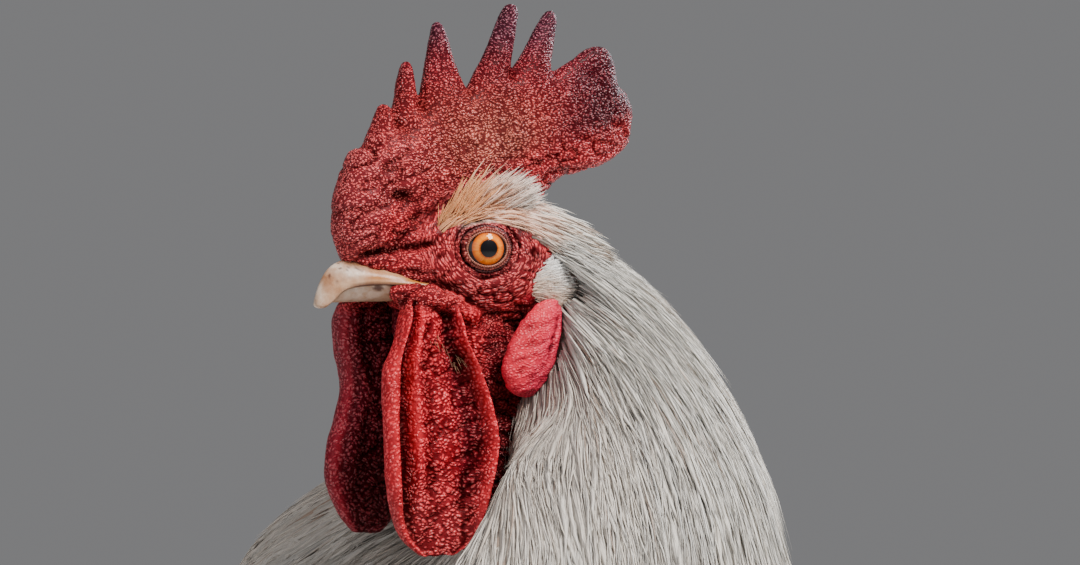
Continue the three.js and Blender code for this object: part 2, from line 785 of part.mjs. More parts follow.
const THIGH = [
  [LEG_X - 6, -56, 238, 28, 42],
  [LEG_X - 1, -49, 208, 29, 44],
  [LEG_X + 2, -36, 178, 24, 35],
  [LEG_X + 1, -21, 148, 16.5, 23],
  [LEG_X, -10, 126, 11, 14.5],
  [LEG_X, -6, HOCK_Z - 6, 8.4, 10.4],
];
const SHANK = [
  [LEG_X, -5, HOCK_Z + 6, 8.2, 10.2],
  [LEG_X, -8, HOCK_Z - 10, 8.2, 9.6],
  [LEG_X, -14, HOCK_Z - 26, 6.4, 7.2],
  [LEG_X, -24, 60, 5.8, 6.6],
  [LEG_X, -34, 34, 6.2, 6.8],
  [LEG_X, FOOT_Y + 2, 18, 7, 7.4],
  [LEG_X, FOOT_Y, 4, 8.4, 8.8],
];
const ANKLE_Z = 20;
const SHANK_SCUTES = 9;
const SCUTE_STEP = 0.8; // how far the lower edge of a scute stands off

const mirrorX = (rows, side) => rows.map(([x, ...rest]) => [side * x, ...rest]);

// A scaled limb: its front swells towards the lower edge of each scute and steps in below it.
function scaledLimb(rows, scutes, sides, side, frontAngle, grow = 0) {
  const at = (t) => rowAt(rows, t * (rows.length - 1));
  const ring = (t, swell) => {
    const r = at(t);
    const along = v3(...at(Math.min(t + 0.02, 1))).sub(v3(...at(Math.max(t - 0.02, 0)))).normalize();
    const up = along.clone().cross(side).normalize();
    const across = up.clone().cross(along).normalize();
    return Array.from({ length: sides }, (_, j) => {
      const a = (2 * Math.PI * j) / sides;
      const front = Math.max(0, Math.cos(a - frontAngle)) ** 0.5;
      const reach = 1 + (swell * front) / r[3];
      return v3(...r)
        .addScaledVector(across, Math.cos(a) * (r[3] * reach + grow))
        .addScaledVector(up, Math.sin(a) * (r[4] * reach + grow));
    });
  };
  const rings = [];
  for (let i = 0; i < scutes; i++) {
    rings.push(ring((i + 0.04) / scutes, 0));
    rings.push(ring((i + 0.9) / scutes, SCUTE_STEP));
  }
  return through(rings);
}

// Everything between two heights.
const slab = (low, high) => block(v3(900, 900, high - low), v3(0, 0, (low + high) / 2));

const scaledShank = (side, grow = 0) =>
  scaledLimb(mirrorX(SHANK, side), SHANK_SCUTES, 8, X_AXIS, -Math.PI / 2, grow);
const shank = (side) => scaledShank(side).intersect(slab(ANKLE_Z, HOCK_Z));

function spur(side) {
  const horn = limb(
    [
      [side * (LEG_X - 2), -24, 48, 4.4, 4.4],
      [side * (LEG_X - 6), -13, 49, 3.6, 3.6],
      [side * (LEG_X - 9), -4, 52, 2, 2],
      [side * (LEG_X - 10), 2, 55, 0.6, 0.6],
    ],
    5,
    6,
  );
  return cut(horn, scaledShank(side, GAP));
}

// Toes, as {turn outwards from straight ahead, length, radius at root and tip, scutes}.
const TOES = [
  { name: "inner", turn: -37, long: 44, thick: [6, 3.7], scutes: 3 },
  { name: "middle", turn: 3, long: 60, thick: [6.4, 3.7], scutes: 4 },
  { name: "outer", turn: 40, long: 47, thick: [6, 3.6], scutes: 3 },
  { name: "hind", turn: 188, long: 27, thick: [5.2, 3.3], scutes: 2 },
];
const CLAW = { long: 13, thick: 2.6 };
const PAD = v3(9.5, 10.5, 7);

// A toe's rows of [x, y, z, radius, radius], running past its end by `beyond`.
function toePath(side, { turn, long, thick }, beyond = 0) {
  const a = degToRad(turn);
  const ahead = v3(side * Math.sin(a), -Math.cos(a), 0);
  const start = v3(side * LEG_X, FOOT_Y, 0);
  const rows = [0, 0.33, 0.66, 1].map((s) => {
    const p = start.clone().addScaledVector(ahead, (long + beyond) * s);
    const r = lerp(thick[0], thick[1], s);
    return [p.x, p.y, r * 0.82 + 1.1 * Math.sin(Math.PI * s), r, r];
  });
  const end = start.addScaledVector(ahead, long);
  end.z = rows[3][2];
  return { rows, end, ahead, across: v3(-ahead.y, ahead.x, 0) };
}

function toe(side, shape) {
  const { rows, end, ahead, across } = toePath(side, shape, 2);
  const whole = scaledLimb(rows, shape.scutes, 6, across, Math.PI / 2);
  return whole.trimByPlane(ahead.clone().negate().toArray(), -ahead.dot(end));
}

function foot(side) {
  const pad = sphere(v3(side * LEG_X, FOOT_Y, 6), PAD, 10, 6);
  const ankle = limb(mirrorX(SHANK.slice(-3), side), 5, 8);
  const toes = TOES.map((shape) => toe(side, shape));
  return largest(joined([...toes, pad, ankle]).intersect(slab(0, ANKLE_Z - GAP)));
}

// A claw's sections from its root to its point, as [reach, rise, size].
const CLAW_ROWS = [
  [-2, 0, 1],
  [0.2, 0.6, 0.97],
  [0.45, 0.5, 0.76],
  [0.78, -0.8, 0.45],
  [1, -2.2, 0.12],
];

function claw(side, shape) {
  const { end, ahead, across } = toePath(side, shape);
  const rows = CLAW_ROWS.map(([reach, rise, size], i) => {
    const p = end.clone().addScaledVector(ahead, i ? reach * CLAW.long : reach);
    return [p.x, p.y, p.z + rise, CLAW.thick * size, CLAW.thick * size];
  });
  const whole = limb(rows, 5, 5, across).trimByPlane(ahead.toArray(), ahead.dot(end) + GAP);
  return largest(whole.intersect(slab(0, ANKLE_Z)));
}

// ---------------------------------------------------------------- assembly

addMesh(head, "head", "skin", faceSolid());
addMesh(head, "comb", "skin", comb());
addMesh(head, "beak_upper", "beak", cut(upperBill(), nostrils()));
addMesh(head, "beak_lower", "beak", lowerBill());
for (const [name, side] of BOTH_SIDES) {
  addMesh(head, `eye_${name}`, "eye", eyeBall(side));
  addMesh(head, `wattle_${name}`, "skin", wattle(side));
  addMesh(head, `earlobe_${name}`, "skin", earlobe(side));
}

const faceParts = BOTH_SIDES.flatMap(([, side]) => [earlobeRoom(side), wattleRoom(side)]);
const neck = joined([neckCore(), ...hackleVanes()]);
addMesh(root, "neck", "feather", cut(neck, torsoCore(GAP), toWorld(joined([skull(GAP), ...faceParts]))));

addMesh(root, "torso", "feather", joined([torsoCore(), ...saddleVanes()]));
addMesh(root, "tail", "feather", cut(tailSolid(), torsoCore(GAP)));
for (const [name, side] of BOTH_SIDES) {
  addMesh(root, `wing_${name}`, "feather", joined([wingPad(side), ...wingVanes(side)]));
  const thigh = limb(mirrorX(THIGH, side), 8, 12).intersect(slab(HOCK_Z + GAP, 300));
  addMesh(root, `thigh_${name}`, "feather", cut(thigh, torsoCore(GAP)));
  addMesh(root, `shank_${name}`, "scale", shank(side));
  addMesh(root, `spur_${name}`, "claw", spur(side));
  addMesh(root, `foot_${name}`, "scale", foot(side));
  for (const shape of TOES) addMesh(root, `claw_${name}_${shape.name}`, "claw", claw(side, shape));
}

// The origin is on the floor, under the middle of the whole bird.
root.updateMatrixWorld(true);
const extent = new THREE.Box3().setFromObject(root, true);
const centre = extent.getCenter(v3());
root.position.set(-centre.x, -centre.y, 0);

export default root;
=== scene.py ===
import math

import bpy
import numpy as np
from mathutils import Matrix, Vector


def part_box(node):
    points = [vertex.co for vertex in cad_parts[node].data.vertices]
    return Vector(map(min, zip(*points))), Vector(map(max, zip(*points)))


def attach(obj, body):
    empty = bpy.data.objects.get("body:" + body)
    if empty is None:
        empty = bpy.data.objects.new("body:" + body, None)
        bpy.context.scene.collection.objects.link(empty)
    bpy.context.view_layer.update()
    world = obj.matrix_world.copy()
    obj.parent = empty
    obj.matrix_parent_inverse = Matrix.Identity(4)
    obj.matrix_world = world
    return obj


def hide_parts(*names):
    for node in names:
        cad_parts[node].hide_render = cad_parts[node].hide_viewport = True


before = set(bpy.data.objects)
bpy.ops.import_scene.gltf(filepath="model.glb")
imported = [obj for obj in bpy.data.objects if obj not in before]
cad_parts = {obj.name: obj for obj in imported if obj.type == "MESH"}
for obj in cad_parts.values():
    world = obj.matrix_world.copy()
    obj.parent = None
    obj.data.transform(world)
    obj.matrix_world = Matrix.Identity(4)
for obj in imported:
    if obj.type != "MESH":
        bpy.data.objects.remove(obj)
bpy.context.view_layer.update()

# Shapes are worked out in millimetres in the bird's own frame: it faces -Y, its left is +X, and the
# floor is Z = 0. The head has a frame of its own, midway between the eyes, turned a little to its left.
MM = 0.001
EYES = np.array([0.0, -110.0, 452.0])
HEAD_TURN = math.radians(10)
SIDES = (("left", 1), ("right", -1))
HEAD_VOXEL, COMB_VOXEL, BODY_VOXEL = 0.55, 0.55, 4.2  # how fine the skin is


def box_middle(node):
    return np.mean(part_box(node), axis=0)


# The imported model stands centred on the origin, so its eyes say how far the frames lie apart.
SHIFT = (box_middle("eye_left") + box_middle("eye_right")) / 2 / MM - EYES


def in_metres(points):
    return (np.asarray(points) + SHIFT) * MM


def turned(x, y, angle):
    """x and y turned anticlockwise."""
    return x * math.cos(angle) - y * math.sin(angle), x * math.sin(angle) + y * math.cos(angle)


def from_head(points):
    """Points of the head's frame in the bird's frame."""
    x, y, z = np.moveaxis(np.asarray(points, float), -1, 0)
    return xyz(*turned(x, y, HEAD_TURN), z) + EYES


def to_head(points):
    x, y, z = np.moveaxis(np.asarray(points, float) - EYES, -1, 0)
    return xyz(*turned(x, y, -HEAD_TURN), z)


# ---------------------------------------------------------------- numbers


def xyz(*parts):
    """An array of points or places from one array for each of their coordinates."""
    return np.stack(np.broadcast_arrays(*parts), -1)


def floats(*values):
    return np.broadcast_arrays(*(np.asarray(v, float) for v in values))


def unit(v):
    return v / np.maximum(np.linalg.norm(v, axis=-1, keepdims=True), 1e-9)


def lerp(a, b, t):
    return a + (b - a) * t


def step(low, high, x):
    """0 below low, 1 above high, smooth between."""
    t = np.clip((x - low) / (high - low), 0, 1)
    return t * t * (3 - 2 * t)


def bump_at(x, middle, width):
    return np.exp(-(((x - middle) / width) ** 2))


def rounded(depth):
    """The height of a quarter circle over its own depth, from 0 to 1."""
    return np.sqrt(np.clip(1 - (1 - np.clip(depth, 0, 1)) ** 2, 0, 1))


def row_at(rows, t):
    """Catmull-Rom values along rows of numbers, at t from 0 to the last row's index."""
    rows, t = np.asarray(rows, float), np.asarray(t, float)
    last = len(rows) - 1
    k = np.clip(np.floor(t).astype(int), 0, last - 1)
    f = (t - k)[..., None]
    a, b, d, e = (rows[np.clip(k + n, 0, last)] for n in (-1, 0, 1, 2))
    p, q = (d - a) / 2, (e - b) / 2
    return b + f * (p + f * (3 * (d - b) - 2 * p - q + f * (2 * (b - d) + p + q)))


def shares(stations):
    """Even places from 0 at a feather's root to 1 at its tip, as a row."""
    return np.linspace(0, 1, stations)[None, :]


def column(values):
    return np.atleast_1d(values)[:, None]


def smooth_rows(rows, count):
    return row_at(rows, np.linspace(0, len(rows) - 1, count))


def hashed(cells, seed):
    """Repeatable random numbers from 0 to 1 for whole-number cells."""
    x, y, z = np.moveaxis(cells, -1, 0)
    h = (x * 73856093) ^ (y * 19349663) ^ (z * 83492791) ^ (seed * 2654435)
    h = h.astype(np.uint64) & np.uint64(0xFFFFFFFF)
    for shift, factor in ((15, 2246822519), (13, 3266489917)):
        h = (h ^ (h >> np.uint64(shift))) * np.uint64(factor) & np.uint64(0xFFFFFFFF)
    return ((h ^ (h >> np.uint64(16))) & np.uint64(0xFFFFFF)).astype(float) / 16777215.0


def noise(points, size, seed=0):
    """Smooth value noise from -1 to 1, with features about `size` across."""
    p = np.asarray(points, float) / size
    base = np.floor(p).astype(np.int64)
    f = p - base
    f = f * f * (3 - 2 * f)
    total = np.zeros(p.shape[:-1])
    for i in range(8):
        corner = np.array([i & 1, (i >> 1) & 1, (i >> 2) & 1])
        weight = np.prod(np.where(corner == 1, f, 1 - f), axis=-1)
        total += weight * hashed(base + corner, seed)
    return total * 2 - 1


def pebbles(points, size, seed):
    """The distance to the nearest scattered point, in sizes: 0 at the middle of each pebble."""
    p = np.asarray(points, float) / size
    base = np.floor(p).astype(np.int64)
    nearest = np.full(p.shape[:-1], 9.0)
    for i in range(27):
        cell = base + np.array([i % 3 - 1, (i // 3) % 3 - 1, i // 9 - 1])
        spot = cell + xyz(*(hashed(cell, seed + n) for n in (1, 2, 3)))
        nearest = np.minimum(nearest, np.linalg.norm(p - spot, axis=-1))
    return nearest


# ---------------------------------------------------------------- meshes


def linked(name, data):
    obj = bpy.data.objects.new(name, data)
    bpy.context.scene.collection.objects.link(obj)
    return obj


def mesh_object(name, points, polygons):
    """A mesh object from points in metres and a list of polygon arrays, each of one size."""
    mesh = bpy.data.meshes.new(name)
    loops = np.concatenate([np.asarray(p, np.int32).ravel() for p in polygons])
    sizes = np.concatenate([np.full(len(p), np.shape(p)[1], np.int32) for p in polygons])
    mesh.vertices.add(len(points))
    mesh.vertices.foreach_set("co", np.asarray(points, np.float32).ravel())
    mesh.loops.add(len(loops))
    mesh.loops.foreach_set("vertex_index", loops)
    mesh.polygons.add(len(sizes))
    mesh.polygons.foreach_set("loop_start", np.concatenate([[0], np.cumsum(sizes)[:-1]]).astype(np.int32))
    mesh.polygons.foreach_set("loop_total", sizes)
    mesh.polygons.foreach_set("use_smooth", np.full(len(sizes), True))
    mesh.update(calc_edges=True)
    mesh.validate()
    return linked(name, mesh)


def paint(obj, name, colours):
    """A colour attribute from an array of rows of red, green and blue, one for each point."""
    layer = obj.data.color_attributes.new(name, "FLOAT_COLOR", "POINT")
    data = np.ones((len(obj.data.vertices), 4), np.float32)
    data[:, :3] = colours
    layer.data.foreach_set("color", data.ravel())


def tag(obj, name, values, kind="FLOAT", field="value"):
    layer = obj.data.attributes.new(name, kind, "POINT")
    layer.data.foreach_set(field, np.asarray(values, np.float32).ravel())


def read(items, field, count, kind=float):
    values = np.empty(count, kind)
    items.foreach_get(field, values)
    return values


def around(count):
    return np.linspace(0, 2 * np.pi, count, endpoint=False)


def globe(rows, columns):
    """Angles from pole to pole and round it, as a column and a row."""
    return np.linspace(0, np.pi, rows)[1:-1, None], around(columns)[None, :]


def grid_faces(rows, columns):
    """Quads over closed rows of points."""
    i = np.arange(rows - 1)[:, None] * columns
    j = np.arange(columns)[None, :]
    k = (j + 1) % columns
    return xyz(i + j, i + k, i + columns + k, i + columns + j).reshape(-1, 4)


def tube(rings):
    """Points, quads and end triangles of the closed body through an array of rings."""
    n, m = rings.shape[:2]
    points = np.concatenate([rings.reshape(-1, 3), rings[:1].mean(1), rings[-1:].mean(1)])
    j = np.arange(m)
    k = (j + 1) % m
    ends = [xyz(n * m, k, j), xyz(n * m + 1, (n - 1) * m + j, (n - 1) * m + k)]
    return points, grid_faces(n, m), np.concatenate(ends)


def spine(rows, count, side):
    """Smooth rows of [x, y, z, half width, half depth], and which way the limb is wide and deep."""
    dense = smooth_rows(rows, count)
    along = unit(np.gradient(dense[:, :3], axis=0))
    up = unit(np.cross(along, np.asarray(side, float)))
    return dense, unit(np.cross(up, along)), up


def limb(rows, count, sides, side=(1, 0, 0)):
    """A limb through rows of [x, y, z, half width across `side`, half depth]."""
    dense, across, up = spine(rows, count, side)
    a = around(sides)[None, :, None]
    across, up = across * dense[:, 3:4], up * dense[:, 4:5]
    return tube(dense[:, None, :3] + across[:, None] * np.cos(a) + up[:, None] * np.sin(a))


def merged(solids):
    """Several (points, quads, triangles) as one."""
    points, quads, tris, offset = [], [], [], 0
    for p, q, t in solids:
        points.append(p)
        quads.append(np.asarray(q) + offset)
        tris.append(np.asarray(t) + offset)
        offset += len(p)
    return np.concatenate(points), np.concatenate(quads), np.concatenate(tris)


def remeshed(points, polygons, voxel):
    """One closed even surface, as points and polygons, round solids that may cross each other."""
    rough = mesh_object("rough", points, polygons)
    modifier = rough.modifiers.new("skin", "REMESH")
    modifier.mode, modifier.voxel_size = "VOXEL", voxel
    mesh = bpy.data.meshes.new_from_object(rough.evaluated_get(bpy.context.evaluated_depsgraph_get()))
    points = read(mesh.vertices, "co", len(mesh.vertices) * 3)
    sizes = read(mesh.polygons, "loop_total", len(mesh.polygons), np.int32)
    loops = read(mesh.loops, "vertex_index", len(mesh.loops), np.int32)
    starts = np.concatenate([[0], np.cumsum(sizes)[:-1]])
    polygons = [loops[starts[sizes == n][:, None] + np.arange(n)] for n in np.unique(sizes)]
    old = rough.data
    bpy.data.objects.remove(rough)
    bpy.data.meshes.remove(old)
    bpy.data.meshes.remove(mesh)
    return points.reshape(-1, 3), polygons


def relaxed(points, polygons, rounds, keep=0.0):
    """Points moved towards the middle of their neighbours, some rounds over."""
    pairs = [xyz(p[:, i], p[:, (i + 1) % p.shape[1]]) for p in polygons for i in range(p.shape[1])]
    a, b = np.unique(np.sort(np.concatenate(pairs), axis=1), axis=0).T
    count = len(points)
    degree = np.bincount(a, minlength=count) + np.bincount(b, minlength=count)
    for _ in range(rounds):
        total = xyz(*(np.bincount(a, c[b], count) + np.bincount(b, c[a], count) for c in points.T))
        points = lerp(total / np.maximum(degree, 1)[:, None], points, keep)
    return points


def normals_of(points, polygons):
    total = np.zeros_like(points)
    for p in polygons:
        face = np.cross(points[p[:, 2]] - points[p[:, 0]], points[p[:, -1]] - points[p[:, 1]])
        for corner in p.T:
            total += xyz(*(np.bincount(corner, c, len(points)) for c in face.T))
    return unit(total)


# ---------------------------------------------------------------- head: skin, comb, wattles, earlobes

# Sections of the skull and the jaw in the head's frame: [forward, up, half width, half height].
SKULL = [
    [-36, -1, 4, 4.5], [-32, -2, 11.5, 11], [-22, -4.5, 17, 17.5], [-8, -4.5, 18.2, 19.2],
    [4, -4, 16.2, 18.6], [12, -3.8, 13.4, 15.5], [19, -3, 9.4, 12], [26, -1, 6.6, 8], [31, 0, 5, 6],
]
JAW = [
    [8, -8, 11.5, 10.5], [3, -20, 14.5, 15.5], [-4, -34, 14.5, 17], [-10, -48, 15, 18],
    [-16, -64, 16, 20], [-20, -76, 14, 18],
]
# The skin behind the gape, over the cheekbone: [outward, back, up, radius].
CHEEK = [[7, -25, -12, 2.2], [11.5, -17, -12.6, 3.2], [13.6, -9, -15, 3], [13.8, -2, -19, 2]]
# The comb's outline in profile, [forward, up], round from the front over the points to the back.
COMB_OUTLINE = [
    [28, -2.8], [34.4, -3], [37.4, 3.2], [37.2, 12], [34.8, 20], [32.4, 24], [31, 26.6], [29.4, 26.4],
    [27.2, 28.6], [24.8, 33.2], [23, 37.6], [21.4, 38], [20.6, 35], [19.4, 32.8], [18.5, 37.6], [17.4, 44],
    [16.3, 48.4], [15.3, 49.6], [14.4, 47.6], [13.4, 42], [12.2, 38], [10.2, 41.4], [8.8, 49], [7.7, 56],
    [6.9, 59.8], [5.6, 60.4], [4.4, 58.2], [2.2, 51], [-0.4, 44.8], [-2.9, 41.6], [-6.2, 47], [-10.8, 56],
    [-14.2, 63.4], [-15.8, 65.3], [-17.2, 64.6], [-16.9, 59], [-15.4, 51.4], [-15.2, 46.6], [-18.6, 49.6],
    [-24, 57.8], [-27.4, 62.8], [-28.8, 63.8], [-30, 62.2], [-28.8, 55], [-27.6, 48.8], [-29.4, 47],
    [-35.6, 50.2], [-41.4, 53.8], [-46.2, 54.4], [-48.8, 52], [-49.6, 47], [-51, 43.6], [-53.6, 42.2],
    [-55.4, 38.5], [-55.8, 35], [-54.4, 32.8], [-54.6, 30.2], [-52.2, 27.2], [-45.9, 23.6], [-38, 21.4],
    [-31.2, 19.6], [-26, 14.6], [-18, 6], [0, 2], [16, -2],
]
COMB_THICK = [[-56, 2.4], [-45, 3.2], [-30, 4], [-12, 4.8], [4, 5.4], [16, 6.6], [28, 7.6], [40, 7]]
SLAB = 1.6  # half the thickness of the slab that the comb is made from
# The wattles' leaves from the jaw down: [up, forward, outward, half width, half thickness].
WATTLES = {
    1: [
        [-11, 16.5, 8.5, 4.5, 3.4], [-17, 16.6, 11.5, 7.6, 3.4], [-24, 17, 13.6, 9.8, 3],
        [-33, 17.6, 15.5, 13.4, 2.7], [-50, 16.5, 18.5, 15.6, 2.3], [-66, 18.2, 19.5, 13.4, 2.3],
        [-76, 17.8, 19.2, 10.5, 2.3], [-81.4, 18.2, 18.8, 4.6, 1.5],
    ],
    -1: [
        [-11, 21, 8.5, 6.5, 3.2], [-17, 20.5, 11, 10, 3.2], [-26, 18.5, 13, 11.4, 2.9],
        [-35, 16.2, 14.5, 11.6, 2.6], [-43, 16.2, 15.8, 12.6, 2.4], [-53, 16.6, 17, 14.6, 2.3],
        [-63, 16.8, 18, 14.6, 2.3], [-72, 17, 18, 9.8, 2.2], [-77.4, 17.4, 18, 4.2, 1.5],
    ],
}
# A leaf's outer face from the front edge to the rear one: [share, how far it stands out].
WATTLE_RELIEF = [
    [0, 1.6], [0.04, 3.1], [0.085, 2.7], [0.125, 0.3], [0.16, -3], [0.21, -3.2], [0.255, 0.4], [0.29, 2.5],
    [0.335, 2.1], [0.42, 0.9], [0.52, 0.7], [0.62, 0], [0.72, -1.3], [0.8, -2.3], [0.87, -1.7], [0.92, 1.1],
    [0.955, 2.9], [0.98, 2.9], [1, 1.4],
]
EYE_X, EYE_BACK, EYE_R = 10.4, 1.7, 7.6
EYE_AHEAD = math.radians(18)  # the eyes look this far forward of straight out
LID_OPEN = (5.5, 4.7)  # half axes of the opening between the lids
LOBE_AT, LOBE_HALF, LOBE_LEAN = (19.4, 13.2, -26.6), (3.6, 7.4, 14.2), math.radians(-25)


def comb_solid():
    """The comb as a slab cut to its outline, then rounded towards its edges."""
    points = np.array(COMB_OUTLINE, float)
    outline = row_at(np.concatenate([points, points[:1]]), np.linspace(0, len(points), 260, endpoint=False))
    along = unit(np.roll(outline, -1, axis=0) - np.roll(outline, 1, axis=0))
    outline = outline + 0.8 * xyz(along[:, 1], -along[:, 0])
    n = len(outline)
    flat = xyz(0, -outline[:, 0], outline[:, 1])
    i = np.arange(n)
    j = (i + 1) % n
    sides = xyz(i, j, j + n, i + n)
    slab = np.concatenate([flat + [SLAB, 0, 0], flat - [SLAB, 0, 0]])
    p, polygons = remeshed(slab, [np.array([i[::-1], i + n]), sides], COMB_VOXEL)
    x, u, v = p[:, 0], -p[:, 1], p[:, 2]
    spots, depth = xyz(u, v), np.full(len(p), 1e9)
    for start, end in zip(outline, np.roll(outline, -1, axis=0)):
        d = end - start
        t = np.clip(((spots - start) @ d) / (d @ d), 0, 1)
        depth = np.minimum(depth, np.linalg.norm(spots - start - t[:, None] * d, axis=1))
    above = v - np.interp(u, [-56, -30, 0, 15, 30], [52, 46, 42, 36, 26])
    full = np.interp(u, *np.array(COMB_THICK).T) * lerp(1, 0.62, step(-8, 14, above))
    x = np.clip(x / SLAB, -1, 1) * np.maximum(full * rounded(depth / (full * 1.25)), 0.35)
    bend = 1.4 * np.sin(-u / 17) * step(10, 40, v)
    return xyz(x + bend, -u, v), polygons[0], np.empty((0, 3), int)


def wattle_solid(side):
    """A wattle: a leaf with rolled rims, a deep groove and a fold down its outer face."""
    down = np.linspace(0, 1, 90)[:, None]
    fore = np.linspace(0, 1, 56)[None, :]  # 0 in front, 1 at the rear edge
    leaf = WATTLES[side]
    v, u, out, wide, thick = np.moveaxis(row_at(leaf, down * (len(leaf) - 1)), -1, 0)
    wave = 0.02 * np.sin(down * 9) + 0.012 * np.sin(down * 23 + 1)
    rim = np.minimum(fore, 1 - fore)
    folded = step(0.06, 0.16, down) * (1 - step(0.66, 0.88, down))
    relief = np.interp(fore + wave, *np.array(WATTLE_RELIEF).T)
    relief = lerp(1.8 * bump_at(rim, 0, 0.07) - 0.4, relief, folded)
    across = (0.5 - fore) * 2
    cup = 2.4 * np.sin(np.pi * down) * (1 - across**2)
    x = out - across * wide * 0.16 - cup + 0.77 * np.sin(down * 7 + fore * 2)
    edge = 0.8 * thick * np.maximum(rounded(rim / 0.06), 0.2)
    faces = (x + edge + relief, x - edge + relief * 0.12)
    outer, inner = (xyz(side * face, -(u + across * wide), v) for face in faces)
    return tube(np.concatenate([outer, inner[:, ::-1]], axis=1))


def earlobe_solid(side):
    """A flat leaf, fuller low in front, with a fold down its rear part."""
    a, b = globe(60, 60)
    z = np.cos(a) + 0 * b
    narrow = np.sin(a) ** 0.85 * (1 - 0.24 * z)
    y, x = narrow * np.cos(b), narrow * np.sin(b)
    fold = 0.5 * bump_at(y, 0.42 - 0.2 * z, 0.09) * step(-0.25, 0.15, z)
    x = np.sign(x) * np.abs(x) ** 0.8 * LOBE_HALF[0] * (1 - fold)
    y = np.where(y > 0, 0.84, 1.08) * y * LOBE_HALF[1]
    return tube(xyz(side * x, *turned(y, z * LOBE_HALF[2], LOBE_LEAN)) + np.array(LOBE_AT) * [side, 1, 1])


def forward_limb(rows, count, sides):
    return limb([[0, -u, v, wide, high] for u, v, wide, high in rows], count, sides)


def eye_frame(side):
    """The eye's middle, and the directions that it looks in, ahead of it and up."""
    s, c = math.sin(EYE_AHEAD), math.cos(EYE_AHEAD)
    rows = ((side * EYE_X, EYE_BACK, 0), (side * c, -s, 0), (-side * s, -c, 0), (0, 0, 1))
    return np.array(rows, float)


def eye_polar(points, side):
    """For points of the head's frame: height along the look, place ahead and up of the eye's middle,
    and how many times farther out they lie than the lids' opening."""
    centre, *axes = eye_frame(side)
    high, ahead, up = ((points - centre) @ axis for axis in axes)
    return high, ahead, up, np.sqrt((ahead / LID_OPEN[0]) ** 2 + (up / LID_OPEN[1]) ** 2)


def shape_sockets(p):
    """Skin round the eyes: an opening between the lids, a raised rim, a groove and a soft fold."""
    for _, side in SIDES:
        high, ahead, up, ring = eye_polar(p, side)
        flat = np.hypot(ahead, up)
        ball = np.sqrt(np.clip(EYE_R**2 - flat**2, 0, None))
        level = lerp(high, np.maximum(ball, 2.2) + 0.55, step(1.95, 1.1, ring) * 0.9)
        for at, width, rise in ((1.12, 0.09, 0.3), (1.3, 0.09, -0.9), (1.47, 0.12, 0.7), (1.66, 0.09, -0.5)):
            level = level + rise * bump_at(ring, at, width)
        level = lerp(level, ball - 2.4, step(1.06, 0.96, ring))
        _, look, _, _ = eye_frame(side)
        p = p + look * np.where((high > 0) & (flat < 13), level - high, 0)[:, None]
    return p


def profile(p):
    """Points of the head's frame as [distance from the middle, forward, up]."""
    return np.abs(p[:, 0]), -p[:, 1], p[:, 2]


def regions(p):
    """How much a point of the head's frame belongs to the comb, the wattles and the face."""
    _, u, v = profile(p)
    comb = np.clip(step(14, 21, v + 0.32 * (u - 6)) + step(24, 30, u) * step(-4, -2, v), 0, 1)
    wattle = step(-14, -19, v) * step(-2, 4, u)
    return comb, wattle, (1 - comb) * (1 - wattle)


def creases(p, size, seed):
    """Folds that run across the last axis of p: 1 on their backs, thin and low between."""
    q = p + 0.5 * size * noise(p, size * 3, seed)[:, None]
    return 1 - 2.4 * bump_at(noise(q * [0.42, 0.42, 1.0], size, seed + 1), 0, 0.2)


def wattle_share(p):
    """Where a point of the head's frame lies across its wattle: 0 at the front edge, 1 at the rear."""
    shares = []
    for side in (1, -1):
        rows = smooth_rows(WATTLES[side], 80)[::-1]
        middle, wide = (np.interp(p[:, 2], rows[:, 0], rows[:, c]) for c in (1, 3))
        shares.append(0.5 - (-p[:, 1] - middle) / (2 * wide))
    return np.where(p[:, 0] > 0, *shares)


def lobe_axes(y, z):
    """Places across and along the earlobe, from its middle."""
    return turned(y - LOBE_AT[1], z - LOBE_AT[2], -LOBE_LEAN)


def earlobe_zone(p):
    """1 on the earlobes and 0 away from them, for points of the head's frame."""
    across, along = lobe_axes(p[:, 1], p[:, 2])
    return step(15, 16.8, np.abs(p[:, 0])) * step(1.3, 1.1, np.hypot(across / 8, along / 14.4))


def lobe_lines(x, u, v):
    """Fine lines that run along the earlobe."""
    return noise(xyz(0.3 * x, 0.34 * u, v + 0.35 * u), 1.1, 25)


